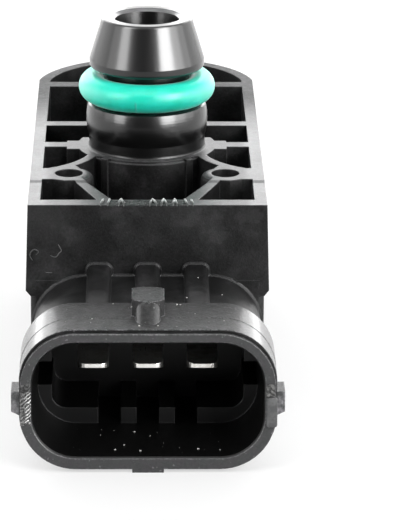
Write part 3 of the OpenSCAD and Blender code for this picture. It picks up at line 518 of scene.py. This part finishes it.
tone = mix_value(tree, skin["Blotch"], 0.0050, 0.0130, x=0, y=300)
mottle = mix_value(tree, collar_skin["Grain"], -0.011, 0.013, x=0, y=400)
smudge = ramp_between(tree, noise_node(tree, place, 0.42, 4.0, 0.65, x=-200, y=500), 0.52, 0.70, 0.0, 0.012, x=0, y=500)
tone = math_node(tree, "ADD", tone, math_node(tree, "ADD", mottle, smudge, x=50, y=450), x=80, y=400)
tone = mix_value(tree, collar, tone, mix_value(tree, rim, mix_value(tree, collar_skin["Blotch"], 0.009, 0.020, x=0, y=100), mix_value(tree, collar_skin["Grain"], 0.035, 0.075, x=0, y=150), x=50, y=150), x=100, y=250)
# Painted highlight: on the lugs at the collar's sides, faces turned to the front are painted much lighter.
rail_front_painted_highlight = mix_value(tree, collar_skin["Blotch"], 0.07, mix_value(tree, collar_skin["Grain"], 0.04, 0.52, x=50, y=50), x=80, y=50)
rail_tone_with_painted_highlight = mix_value(tree, ramp_between(tree, facing_y, -0.5, -0.95, x=50, y=0), mix_value(tree, collar_skin["Grain"], 0.00, 0.07, x=50, y=100), rail_front_painted_highlight, x=100, y=200)
tone = mix_value(tree, rails, tone, rail_tone_with_painted_highlight, x=150, y=250)
# Painted shade: inside the socket the base colour is near black, a little less dark on faces turned to the front.
tone = mix_value(tree, socket, tone, ramp_between(tree, facing_y, -0.5, -0.95, 0.001, 0.010, x=100, y=350), x=200, y=250)
# The port is near black, and its mouth's edge is painted light grey as a painted highlight.
tone = mix_value(tree, port, tone, mix_value(tree, painted_mouth_highlight, 0.003, 0.17, x=200, y=150), x=250, y=250)
# Rib tops: lighter at the side walls and darker toward the far end, partly scuffing and partly painted highlight.
scuff_and_highlight_tone = mix_value(tree, side_wall, 0.030, 0.10, x=0, y=0)
scuff_and_highlight_tone = mix_value(tree, far_end, scuff_and_highlight_tone, 0.022, x=50, y=0)
scuff_and_highlight_tone = mix_value(tree, skin["Blotch"], scuff_and_highlight_tone, 0.06, x=100, y=0)
tone = mix_value(tree, tops, tone, scuff_and_highlight_tone, x=300, y=250)
chipped = ramp_between(tree, collar_skin["Grain"], 0.42, 0.62, 0.02, 0.30, x=0, y=-150)
wear = mix_value(tree, collar, mix_value(tree, skin["Grain"], 0.0, 0.075, x=0, y=-100), chipped, x=100, y=-150)
worn = math_node(tree, "MULTIPLY", edges["Edge"], wear, x=150, y=-100)
worn = math_node(tree, "MULTIPLY", worn, math_node(tree, "SUBTRACT", 1.0, socket, x=150, y=-50), x=200, y=-100)
tone = math_node(tree, "ADD", tone, worn, x=350, y=200)
speckle = math_node(tree, "MULTIPLY", skin["Dots"], mix_value(tree, collar, 0.008, 0.09, x=200, y=0), x=300, y=50)
matt_places = math_node(tree, "MULTIPLY", math_node(tree, "MAXIMUM", collar, tops, x=0, y=-200), 0.04, x=100, y=-200)
specks = math_node(tree, "ADD", speckle, math_node(tree, "MULTIPLY", matt_places, dust, x=200, y=-200), x=320, y=0)
clean = math_node(tree, "MAXIMUM", port, math_node(tree, "MULTIPLY", socket, 0.93, x=200, y=-100), x=250, y=-50)
specks = math_node(tree, "MULTIPLY", specks, math_node(tree, "SUBTRACT", 1.0, clean, x=300, y=-50), x=350, y=50)
tone = math_node(tree, "ADD", tone, specks, x=400, y=150)
tint = mix_color(tree, collar_skin["Blotch"], (0.96, 1.0, 1.0), (1.03, 0.99, 1.05), x=350, y=450)
shaded = vector_node(tree, "MULTIPLY", tint, x=500, y=300)
grey = add_node(tree, "ShaderNodeCombineXYZ", 420, 300)
for i in range(3):
    link(tree, tone, grey.inputs[i])
link(tree, grey.outputs[0], shaded.inputs[1])
link(tree, shaded.outputs["Vector"], shader.inputs["Base Color"])

rough = mix_value(tree, skin["Blotch"], 0.40, 0.50, x=0, y=-350)
rough = mix_value(tree, collar, rough, 0.42, x=100, y=-350)
rough = mix_value(tree, socket, rough, 0.38, x=200, y=-350)
rough = mix_value(tree, port, rough, mix_value(tree, mouth, 0.34, 0.22, x=250, y=-400), x=300, y=-350)
rough = mix_value(tree, tops, rough, mix_value(tree, far_end, 0.40, 0.62, x=350, y=-400), x=400, y=-350)
link(tree, rough, shader.inputs["Roughness"])
top_gloss = mix_value(tree, far_end, mix_value(tree, side_wall, 0.03, 0.16, x=100, y=-550), 0.0, x=200, y=-550)
gloss = math_node(tree, "MAXIMUM", port_gloss, math_node(tree, "MULTIPLY", tops, top_gloss, x=250, y=-500), x=300, y=-450)
flank = ramp_between(tree, math_node(tree, "ABSOLUTE", facing_x, x=200, y=-650), 0.25, 0.75, 0.04, 0.85, x=250, y=-650)
gloss = math_node(tree, "MAXIMUM", gloss, math_node(tree, "MULTIPLY", collar, flank, x=300, y=-550), x=400, y=-450)
gloss = math_node(tree, "SUBTRACT", gloss, socket, clamp=True, x=500, y=-450)
link(tree, gloss, shader.inputs["Coat Weight"])
shader.inputs["Coat Roughness"].default_value = 0.19
shader.inputs["Coat IOR"].default_value = 1.5
eroded = mix_value(tree, collar, 1.0, mix_value(tree, rim, 3.2, 1.4, x=-100, y=-600), x=0, y=-600)
polish = mix_value(tree, socket, mix_value(tree, port, eroded, 0.25, x=50, y=-600), 0.07, x=100, y=-600)
relief = math_node(tree, "MULTIPLY", mix_value(tree, collar, skin["Grain"], collar_skin["Grain"], x=0, y=-600), polish, x=200, y=-600)
ripple = noise_node(tree, place, 2.2, 4.0, 0.6, x=0, y=-1000)
ripple = math_node(tree, "MULTIPLY", math_node(tree, "MULTIPLY", ripple, port, x=150, y=-1000), 0.65, x=250, y=-1000)
relief = math_node(tree, "ADD", relief, ripple, x=230, y=-600)
relief = math_node(tree, "ADD", math_node(tree, "MULTIPLY", relief, 0.020, x=250, y=-650), math_node(tree, "MULTIPLY", flare, 0.55, x=250, y=-750), x=350, y=-650)
calm = add_node(tree, "ShaderNodeMix", 300, -850, data_type="VECTOR")
link(tree, flat_front, calm.inputs["Factor"])
link(tree, edges["Normal"], next(i for i in calm.inputs if i.name == "A" and i.type == "VECTOR"))
next(i for i in calm.inputs if i.name == "B" and i.type == "VECTOR").default_value = (0.0, -0.998, 0.06)
bump(tree, shader, relief, 1.0, next(o for o in calm.outputs if o.type == "VECTOR"))
paint("housing", housing_plastic)
print("housing painted with", len(tree.nodes), "nodes")

# %% [markdown]
# ## Sealing ring
# The ring is green silicone rubber. It is soft and a little cloudy, so light
# spreads under its skin, and where its two moulds met there is a faint line. Rubber also holds
# a bit of dust, which lifts its roughness in patches. Where its surface turns to the left
# and right it is painted paler, a painted sheen.

# %% Ring material
ring_rubber, tree, shader, place = new_material("ring_rubber", roughness=0.34, specular=0.3)
skin = use_group(tree, moulded_skin, x=-700, y=0, Place=place, Grain_Scale=5.0, Blotch_Scale=0.5)
around_ring = add_node(tree, "ShaderNodeSeparateXYZ", -1000, 300)
link(tree, place, around_ring.inputs[0])
turn = math_node(tree, "ARCTAN2", around_ring.outputs["X"], math_node(tree, "MULTIPLY", around_ring.outputs["Y"], -1.0, x=-800, y=250), x=-650, y=300)
MARK_TURN = math.radians(-9.5)
off_mark = math_node(tree, "ABSOLUTE", math_node(tree, "SUBTRACT", turn, MARK_TURN, x=-500, y=300), x=-400, y=300)
mark = ramp_between(tree, off_mark, 0.022, 0.006, x=-250, y=300)
facing = add_node(tree, "ShaderNodeNewGeometry", -500, 550)
facing_axes = add_node(tree, "ShaderNodeSeparateXYZ", -350, 550)
link(tree, facing.outputs["Normal"], facing_axes.inputs[0])
mark = math_node(tree, "MULTIPLY", mark, ramp_between(tree, facing_axes.outputs["Z"], 0.10, -0.20, x=-250, y=450), x=-100, y=400)
green = mix_color(tree, skin["Blotch"], (0.005, 0.75, 0.53), (0.010, 0.82, 0.62), x=-200, y=50)
green = mix_color(tree, mark, green, (0.08, 0.74, 0.58), x=0, y=100)
# Painted sheen: where the surface turns left or right, more where it also faces up, the green is painted paler.
painted_sheen = ramp_between(tree, math_node(tree, "ABSOLUTE", facing_axes.outputs["X"], x=-200, y=550), 0.45, 1.0, 0.0, 0.75, x=-50, y=550)
painted_sheen = math_node(tree, "MULTIPLY", painted_sheen, ramp_between(tree, facing_axes.outputs["Z"], -0.5, 0.4, x=-50, y=700), x=100, y=600)
green = mix_color(tree, painted_sheen, green, (0.30, 0.88, 0.76), x=200, y=200)
link(tree, green, shader.inputs["Base Color"])
link(tree, mix_value(tree, skin["Blotch"], 0.30, 0.38, x=0, y=-150), shader.inputs["Roughness"])
shader.inputs["Sheen Weight"].default_value = 0.30
shader.inputs["Sheen Roughness"].default_value = 0.4
shader.inputs["Subsurface Weight"].default_value = 0.12
shader.inputs["Subsurface Radius"].default_value = (0.2, 1.0, 0.8)
shader.inputs["Subsurface Scale"].default_value = 0.4 * MM
bump(tree, shader, math_node(tree, "ADD", math_node(tree, "MULTIPLY", mark, 2.0, x=0, y=-300), skin["Grain"], x=150, y=-300), 0.012)
paint("port_o_ring", ring_rubber)

# %% [markdown]
# ## Metals
# The blades are stamped from tinned strip, the bush is turned steel, the cell is
# plated sheet. They differ in colour, in how rough they are and in which way
# their fine lines run, so one function makes them all and the values tell them apart.
# Solder has no lines: it froze from a melt and is only a little uneven.

# %% Metal materials
def metal(name, bright, dull, roughness, squeeze=(14.0, 0.5, 14.0), depth=0.004):
    """Metal with drawn lines and tarnish, between a bright and a dull colour."""
    material, tree, shader, place = new_material(name, metallic=1.0)
    worked = use_group(tree, drawn_lines, x=-700, y=0, Place=place, Squeeze=squeeze)
    edges = use_group(tree, soft_edges, x=-700, y=-300, Radius=0.08 * MM)
    color = mix_color(tree, worked["Tarnish"], bright, dull, x=-300, y=100)
    link(tree, color, shader.inputs["Base Color"])
    rough = mix_value(tree, worked["Lines"], roughness * 0.75, roughness * 1.25, x=-300, y=-100)
    rough = math_node(tree, "ADD", rough, math_node(tree, "MULTIPLY", worked["Tarnish"], 0.08, x=-150, y=-150), x=0, y=-100)
    link(tree, rough, shader.inputs["Roughness"])
    bump(tree, shader, worked["Lines"], depth, edges["Normal"])
    return material


tinned = metal("tinned_metal", (0.86, 0.85, 0.82), (0.62, 0.60, 0.56), 0.30)
for name in ("terminal_left", "terminal_middle", "terminal_right"):
    paint(name, tinned)
paint("mounting_bush", metal("bush_steel", (0.60, 0.59, 0.57), (0.42, 0.40, 0.37), 0.32, (1.5, 1.5, 16.0), 0.006))
paint("cell_base", metal("cell_metal", (0.72, 0.62, 0.40), (0.60, 0.50, 0.32), 0.28))
paint("pressure_tube", metal("tube_metal", (0.70, 0.62, 0.44), (0.58, 0.50, 0.36), 0.25, (10.0, 10.0, 0.6)))
paint("cell_cap", metal("cap_metal", (0.62, 0.62, 0.60), (0.50, 0.50, 0.49), 0.30, (10.0, 10.0, 0.6)))
paint("cell_leads", metal("lead_gold", (0.83, 0.62, 0.25), (0.70, 0.50, 0.22), 0.25, (10.0, 10.0, 0.6)))
paint("bond_wires", metal("wire_metal", (0.80, 0.80, 0.81), (0.70, 0.70, 0.71), 0.22))
solder = metal("solder", (0.66, 0.66, 0.66), (0.48, 0.48, 0.49), 0.26, (2.0, 2.0, 2.0), 0.02)
paint("terminal_solder", solder)
paint("lead_solder", solder)

# %% [markdown]
# ## Cover, sealant, board and cell
# These sit at the back or inside. The cover is of the housing's plastic in a
# rougher skin. The board is green lacquer over woven glass, whose weave shows as a
# faint relief. Glass, silicon and ceramic get their own tone and gloss.

# %% Plain finishes
def moulding(name, low, high, roughness, specular=0.4, grain_mm=0.015, grain=6.0, blotch=0.25):
    """Plastic, rubber, glass or ceramic: one colour that drifts between two tones."""
    material, tree, shader, place = new_material(name, specular=specular)
    skin = use_group(tree, moulded_skin, x=-700, y=0, Place=place, Grain_Scale=grain, Blotch_Scale=blotch)
    edges = use_group(tree, soft_edges, x=-700, y=-300, Radius=0.12 * MM)
    color = mix_color(tree, skin["Blotch"], low, high, x=-300, y=100)
    color = mix_color(tree, math_node(tree, "MULTIPLY", edges["Edge"], 0.25, x=-300, y=-50), color,
                      tuple(min(1.0, 1.5 * c + 0.02) for c in high), x=-100, y=100)
    link(tree, color, shader.inputs["Base Color"])
    link(tree, mix_value(tree, skin["Blotch"], roughness * 0.88, roughness * 1.12, x=-300, y=-150), shader.inputs["Roughness"])
    bump(tree, shader, skin["Grain"], grain_mm, edges["Normal"])
    return material


paint("back_cover", moulding("cover_plastic", (0.016, 0.016, 0.018), (0.026, 0.026, 0.028), 0.55, grain_mm=0.03))
paint("cover_sealant", moulding("sealant", (0.28, 0.28, 0.26), (0.36, 0.36, 0.34), 0.45))
paint("cell_seal", moulding("seal_rubber", (0.020, 0.020, 0.022), (0.032, 0.032, 0.034), 0.60))
paint("board_capacitors", moulding("ceramic", (0.36, 0.25, 0.15), (0.46, 0.33, 0.21), 0.40))
paint("board_resistors", moulding("resistor_coat", (0.018, 0.018, 0.020), (0.030, 0.030, 0.032), 0.35))
paint("glass_pedestal", moulding("cell_glass", (0.50, 0.64, 0.68), (0.58, 0.70, 0.74), 0.12, 0.5, 0.002))
paint("lead_glass_beads", moulding("bead_glass", (0.06, 0.16, 0.18), (0.10, 0.22, 0.24), 0.12, 0.5, 0.002))
paint("pressure_chip", moulding("silicon", (0.09, 0.10, 0.13), (0.13, 0.14, 0.17), 0.15, 0.6, 0.001))

board_laminate, tree, shader, place = new_material("board_laminate", roughness=0.28)
skin = use_group(tree, moulded_skin, x=-700, y=0, Place=place)
WEAVE_PITCH = 0.45
thread = vector_node(tree, "SCALE", place, scale=2 * math.pi / WEAVE_PITCH, x=-1000, y=-250)
thread_axes = add_node(tree, "ShaderNodeSeparateXYZ", -850, -250)
link(tree, thread.outputs["Vector"], thread_axes.inputs[0])
weave = math_node(tree, "MULTIPLY", math_node(tree, "SINE", thread_axes.outputs["X"], x=-700, y=-200),
                  math_node(tree, "SINE", thread_axes.outputs["Y"], x=-700, y=-350), x=-500, y=-250)
lacquer = mix_color(tree, skin["Blotch"], (0.010, 0.13, 0.055), (0.016, 0.18, 0.080), x=-300, y=100)
link(tree, lacquer, shader.inputs["Base Color"])
link(tree, mix_value(tree, skin["Blotch"], 0.24, 0.32, x=-300, y=-50), shader.inputs["Roughness"])
bump(tree, shader, weave, 0.008)
paint("circuit_board", board_laminate)
print("all", len(NODES), "CAD pieces have a finish")

# %% [markdown]
# ## Marks of the tool and of use
# What makes a moulding look real is what went a bit wrong with it. Along the front wall a
# thin film of plastic was torn off and left a rough strip with small
# standing burrs. On the left of the rim the gate was broken away, on the right a raised pad
# is left whole. Some lint and dust have settled too. All of it is
# real geometry, and each piece is set on the surface that carries it.
#
# The helpers make a mesh piece, find the surface nearest to a point and sweep a thin
# strand along a path.

# %% Helpers for small pieces
housing = NODES["housing"]
surface = BVHTree.FromPolygons([housing.matrix_world @ v.co for v in housing.data.vertices],
                               [tuple(p.vertices) for p in housing.data.polygons])


def add_piece(name, bm, material, smooth=True):
    """Turns a bmesh into a piece that rides on the part."""
    mesh = bpy.data.meshes.new(name)
    bmesh.ops.recalc_face_normals(bm, faces=bm.faces)
    bm.to_mesh(mesh)
    bm.free()
    for polygon in mesh.polygons:
        polygon.use_smooth = smooth
    mesh.materials.append(material)
    piece = bpy.data.objects.new(name, mesh)
    bpy.context.collection.objects.link(piece)
    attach(piece, "root")
    print(name, "has", len(mesh.polygons), "faces")
    return piece


def on_surface(x, y, z, lift=0.0):
    """The point of the housing nearest to a place in mm, lifted off it, and the normal there."""
    found, normal, _, _ = surface.find_nearest(Vector((x, y, z)) * MM)
    return found + normal * lift * MM, normal


def smooth_path(points, steps=6):
    """Adds points between the given ones so that the path bends softly."""
    path = []
    for i in range(len(points) - 1):
        before, a, b, after = (points[max(0, min(len(points) - 1, j))] for j in (i - 1, i, i + 1, i + 2))
        for k in range(steps):
            t = k / steps
            path.append(0.5 * (2 * a + (b - before) * t + (2 * before - 5 * a + 4 * b - after) * t * t
                               + (3 * a - before - 3 * b + after) * t ** 3))
    return path + [points[-1]]


def add_strand(bm, path, radius, sides=7, taper=0.4):
    """Sweeps a ring of vertices along a path. The ends are thinner and closed."""
    rings = []
    for i, point in enumerate(path):
        along = (path[min(i + 1, len(path) - 1)] - path[max(i - 1, 0)]).normalized()
        across = along.cross(Vector((0.3, 0.2, 1.0))).normalized()
        other = along.cross(across)
        near_end = min(i, len(path) - 1 - i) / (len(path) - 1) * 2
        r = radius * (1 - taper + taper * min(1.0, 2.5 * near_end)) * (1 + 0.25 * noise.noise(point * 4000))
        rings.append([bm.verts.new(point + r * (math.cos(a) * across + math.sin(a) * other))
                      for a in (2 * math.pi * k / sides for k in range(sides))])
    for low, high in zip(rings, rings[1:]):
        for k in range(sides):
            bm.faces.new((low[k], low[(k + 1) % sides], high[(k + 1) % sides], high[k]))
    bm.faces.new(rings[0])
    bm.faces.new(rings[-1])


print("surface of", len(housing.data.polygons), "faces ready")

# %% [markdown]
# Torn plastic is paler than moulded plastic, because its broken skin scatters light.
# Two finishes come from that: a dull one for the torn ground and a pale one for the
# thin burrs. The burrs are painted dark toward the wall's front edge and down its front
# face, a painted shade. Lint and dust get their own.

# %% Finishes of the small pieces
torn_plastic = moulding("torn_plastic", (0.004, 0.007, 0.006), (0.026, 0.033, 0.031), 0.75, 0.25, 0.03, 9.0, 2.5)
torn_rim = moulding("torn_rim", (0.002, 0.002, 0.002), (0.10, 0.10, 0.095), 0.60, 0.4, 0.03, 9.0, 3.2)
splintered, tree, shader, place = new_material("splintered_plastic", roughness=0.55, specular=0.4)
at = add_node(tree, "ShaderNodeSeparateXYZ", -1100, 200)
link(tree, place, at.inputs[0])
slant = math_node(tree, "SUBTRACT", at.outputs["Z"], math_node(tree, "MULTIPLY", at.outputs["X"], 0.75, x=-950, y=150), x=-800, y=200)
wobble = noise_node(tree, place, 1.6, 3.0, 0.6, x=-950, y=-50)
phase = math_node(tree, "ADD", math_node(tree, "MULTIPLY", slant, 18.0, x=-650, y=200),
                  math_node(tree, "MULTIPLY", wobble, 9.0, x=-650, y=0), x=-500, y=150)
threads = ramp_between(tree, math_node(tree, "SINE", phase, x=-350, y=150), 0.0, 0.75, x=-200, y=150)
inner_half = ramp_between(tree, at.outputs["X"], -11.12, -10.85, 0.22, 1.0, x=-350, y=350)
low_part = ramp_between(tree, at.outputs["Z"], -12.0, -12.45, 0.10, 1.0, x=-350, y=500)
pale = math_node(tree, "MULTIPLY", math_node(tree, "MULTIPLY", threads, inner_half, x=0, y=200), low_part, x=150, y=200)
crumbs = ramp_between(tree, noise_node(tree, place, 5.5, 3.0, 0.6, x=-500, y=-150), 0.42, 0.62, 0.0, 0.22, x=-300, y=-150)
pale = math_node(tree, "MAXIMUM", pale, math_node(tree, "MULTIPLY", crumbs, low_part, x=0, y=0), x=300, y=150)
link(tree, mix_color(tree, pale, (0.004, 0.004, 0.004), (0.85, 0.85, 0.84), x=450, y=150), shader.inputs["Base Color"])
bump(tree, shader, threads, 0.03)
pale_burr, tree, shader, place = new_material("pale_burr", roughness=0.42)
at = add_node(tree, "ShaderNodeSeparateXYZ", -1100, 200)
link(tree, place, at.inputs[0])
skin = use_group(tree, moulded_skin, x=-700, y=0, Place=place, Grain_Scale=9.0, Blotch_Scale=3.4)
pale = mix_color(tree, skin["Blotch"], (0.14, 0.155, 0.15), (0.60, 0.63, 0.62), x=-300, y=100)
# Painted shade: the burrs turn dark toward the wall's front edge and down its front face.
clear_of_painted_shade = ramp_between(tree, at.outputs["Y"], -19.75, -18.75, x=-500, y=300)
link(tree, mix_color(tree, clear_of_painted_shade, (0.035, 0.042, 0.040), pale, x=0, y=100), shader.inputs["Base Color"])
bump(tree, shader, skin["Grain"], 0.01)
lint = moulding("lint", (0.060, 0.062, 0.062), (0.11, 0.112, 0.11), 0.8, 0.2, 0.004)
dust_grain = moulding("dust_grain", (0.45, 0.45, 0.43), (0.75, 0.75, 0.72), 0.9, 0.2, 0.004)

# %% [markdown]
# The torn strip runs over the front edge of the wall. It is a grid folded over that
# edge. Noise lifts its points, and toward its borders they sink into the wall, so
# that no border shows.

# %% Torn strip on the front wall
WALL_TOP_Z = -0.12
WALL_INNER_Y, WALL_OUTER_Y = -18.24, -19.89


def over_the_edge(x, s):
    """Place and outward direction on the wall's top (s from 0) and down its front, in mm."""
    flat = abs(WALL_OUTER_Y - WALL_INNER_Y)
    if s < flat:
        return Vector((x, WALL_INNER_Y - s, WALL_TOP_Z)), Vector((0, 0, 1))
    down = s - flat
    return Vector((x, WALL_OUTER_Y - 0.0476 * down, WALL_TOP_Z - down)), Vector((0, -1, 0.05)).normalized()


STRIP_X = (-4.50, 4.50)
STRIP_LENGTH = 2.02
bm = bmesh.new()
columns, rows = 180, 34
grid = []
for i in range(columns + 1):
    x = STRIP_X[0] + (STRIP_X[1] - STRIP_X[0]) * i / columns
    line = []
    for j in range(rows + 1):
        s = STRIP_LENGTH * j / rows
        place, out = over_the_edge(x, s)
        border = min(1.0, 6 * i / columns, 6 * (1 - i / columns), 7 * j / rows, 5 * (1 - j / rows))
        rough = noise.fractal(Vector((x * 3.1, s * 2.2, 0.7)), 0.8, 2.1, 4)
        tear = 0.03 + 0.055 * rough + 0.02 * math.sin(9 * x + 2 * rough)
        line.append(bm.verts.new((place + out * (border * (tear + 0.03) - 0.03)) * MM))
    grid.append(line)
for i in range(columns):
    for j in range(rows):
        bm.faces.new((grid[i][j], grid[i + 1][j], grid[i + 1][j + 1], grid[i][j + 1]))
add_piece("torn_strip", bm, torn_plastic)

# %% [markdown]
# Each burr is one or two thin legs that lean from a common top over the edge. The
# table holds the place of the top and of the feet along the wall. The numbers
# are uneven on purpose: a tear never repeats.

# %% Standing burrs
BURRS = [(-4.10, (-4.39,)), (-3.50, (-3.73,)), (-2.47, (-2.71, -2.23)), (0.48, (0.19, 0.84)),
         (1.54, (1.25, 1.80)), (2.54, (2.36, 2.75)), (3.44, (3.74,)), (4.07, (4.24,))]
random.seed(4)
bm = bmesh.new()
for top_x, feet in BURRS:
    for foot_x in feet:
        steps = []
        for t in (0.0, 0.25, 0.5, 0.75, 1.0):
            place, out = over_the_edge(top_x + (foot_x - top_x) * t ** 0.8, 0.04 + 1.70 * t)
            steps.append((place + out * (0.13 - 0.05 * t + random.uniform(-0.03, 0.03))) * MM)
        add_strand(bm, smooth_path(steps), random.uniform(0.10, 0.145) * MM, taper=0.65)
add_piece("standing_burrs", bm, pale_burr)

# %% [markdown]
# The broken gate on the left of the rim uses the same idea of a grid that sinks at
# its borders. Slanting ridges show which way the plastic was twisted off. The pad
# on the right is a plate with rounded edges, and above it the rim is torn too.

# %% Broken gate and pad on the rim
RIM_Y = -37.64


def torn_patch(name, x_range, z_range, height, ridge_lean, seed, material):
    """A rough field on the rim's face. Height in mm, ridges lean by the given slope."""
    bm = bmesh.new()
    nx, nz = 26, int(26 * (z_range[1] - z_range[0]) / (x_range[1] - x_range[0]))
    field = []
    for i in range(nx + 1):
        x = x_range[0] + (x_range[1] - x_range[0]) * i / nx
        line = []
        for k in range(nz + 1):
            z = z_range[0] + (z_range[1] - z_range[0]) * k / nz
            rough = noise.fractal(Vector((x * 3.3, z * 3.3, seed)), 0.7, 2.2, 5)
            ragged = noise.noise(Vector((x * 1.8, z * 1.8, seed + 5)))
            border = min(1.0, 5 * i / nx, 5 * (1 - i / nx), 9 * k / nz, 9 * (1 - k / nz))
            border = max(0.0, min(1.0, border + 1.2 * ragged if border < 1 else 1.0 + 0.8 * ragged))
            border *= 1.0 if 0 < i < nx and 0 < k < nz else 0.0
            ridge = abs(math.sin(7.5 * (z - ridge_lean * x) + 1.5 * rough))
            lift = height * (0.25 + 0.45 * ridge + 0.75 * rough)
            line.append(bm.verts.new(Vector((x, RIM_Y + 0.03 - border * (max(lift, 0) + 0.04), z)) * MM))
        field.append(line)
    for i in range(nx):
        for k in range(nz):
            bm.faces.new((field[i][k], field[i][k + 1], field[i + 1][k + 1], field[i + 1][k]))
    return add_piece(name, bm, material, smooth=False)


torn_patch("broken_gate", (-11.50, -10.52), (-15.40, -11.30), 0.26, 0.75, 3.0, splintered)
torn_patch("torn_rim_right", (10.52, 11.46), (-12.75, -11.40), 0.16, -0.7, 8.0, torn_rim)

PAD_X, PAD_Z, PAD_T = (10.62, 11.60), (-15.48, -12.66), 0.26
bm = bmesh.new()
bmesh.ops.create_cube(bm, size=1.0)
for v in bm.verts:
    v.co = Vector(((PAD_X[0] + PAD_X[1]) / 2 + v.co.x * (PAD_X[1] - PAD_X[0]),
                   RIM_Y + 0.05 - PAD_T / 2 + v.co.y * PAD_T,
                   (PAD_Z[0] + PAD_Z[1]) / 2 + v.co.z * (PAD_Z[1] - PAD_Z[0]))) * MM
upright = [e for e in bm.edges if abs(e.verts[0].co.y - e.verts[1].co.y) > 0.1 * MM]
bmesh.ops.bevel(bm, geom=upright, offset=0.22 * MM, segments=5, affect="EDGES", profile=0.5)
front = [e for e in bm.edges if all(v.co.y < (RIM_Y - 0.1) * MM for v in e.verts)]
bmesh.ops.bevel(bm, geom=front, offset=0.07 * MM, segments=3, affect="EDGES", profile=0.5)
add_piece("rim_pad", bm, moulding("pad_plastic", (0.065, 0.066, 0.067), (0.105, 0.106, 0.107), 0.45, 0.4, 0.02, 6.0, 1.6))

# %% [markdown]
# Two curls and a short bit of lint lie on the front face. Their paths are given in a few
# points each. Every point is moved to the nearest spot of the surface, so that the
# strands lie on it.

# %% Lint on the front face
LINT = [[(-10.76, -5.46), (-11.01, -5.01), (-10.87, -4.58), (-10.57, -4.40), (-10.28, -4.53), (-10.24, -4.70), (-10.46, -4.93)],
        [(-8.36, -3.89), (-8.19, -4.22), (-8.07, -4.53), (-8.28, -4.75), (-8.50, -5.06), (-8.75, -5.12), (-9.09, -4.97)],
        [(-9.55, -6.63), (-9.23, -6.65), (-8.95, -6.64)]]
bm = bmesh.new()
for path in LINT:
    points = [on_surface(x, -20.2, z, lift=0.03)[0] for x, z in path]
    add_strand(bm, smooth_path(points), (0.06 if len(path) > 3 else 0.045) * MM, taper=0.6)
add_piece("lint_strands", bm, lint)

# %% [markdown]
# Dust grains are small lumps with a little noise in their shape. The larger ones
# have their own place in the table. The fine ones are strewn over the collar and
# over the socket's floor with a fixed seed, so that each run gives the same part.

# %% Dust
GRAINS = [(-1.26, -31.85, -18.19, 0.09), (-2.17, -34.86, -18.30, 0.07), (-2.98, -36.0, -18.35, 0.08),
          (-0.72, -36.23, -18.36, 0.09), (0.20, -32.78, -18.23, 0.06), (4.54, -35.78, -18.34, 0.08),
          (6.53, -36.02, -18.34, 0.05), (-1.50, -33.28, -5.59, 0.07), (-0.82, -36.0, -6.46, 0.08),
          (0.88, -36.0, -6.46, 0.06), (2.65, -30.23, -6.44, 0.08), (2.95, -30.25, -6.44, 0.06), (4.25, -32.75, -6.44, 0.05),
          (-5.04, -34.08, -6.46, 0.06), (-3.18, -29.95, -6.44, 0.05), (6.82, -34.59, -6.47, 0.05),
          (6.87, -25.49, -7.08, 0.05), (3.60, -28.07, -6.50, 0.07), (4.68, -23.73, -6.01, 0.06)]
random.seed(11)
for _ in range(34):
    GRAINS.append((random.uniform(-9, 9), random.uniform(-36.9, -30.0), -6.4, random.uniform(0.010, 0.022)))
for _ in range(14):
    GRAINS.append((random.uniform(-7, 7), random.uniform(-37.0, -31.0), -18.4, random.uniform(0.012, 0.035)))
bm = bmesh.new()
for x, y, z, radius in GRAINS:
    place, normal = on_surface(x, y, z, lift=0.4 * radius)
    grain_verts = bmesh.ops.create_icosphere(bm, subdivisions=1, radius=radius * MM)["verts"]
    for v in grain_verts:
        v.co *= 1 + 0.5 * noise.noise(v.co * 20000 + place * 3000)
        v.co.x *= 1.3
        v.co += place
add_piece("dust_grains", bm, dust_grain, smooth=False)

# %% Finish
bpy.context.view_layer.update()
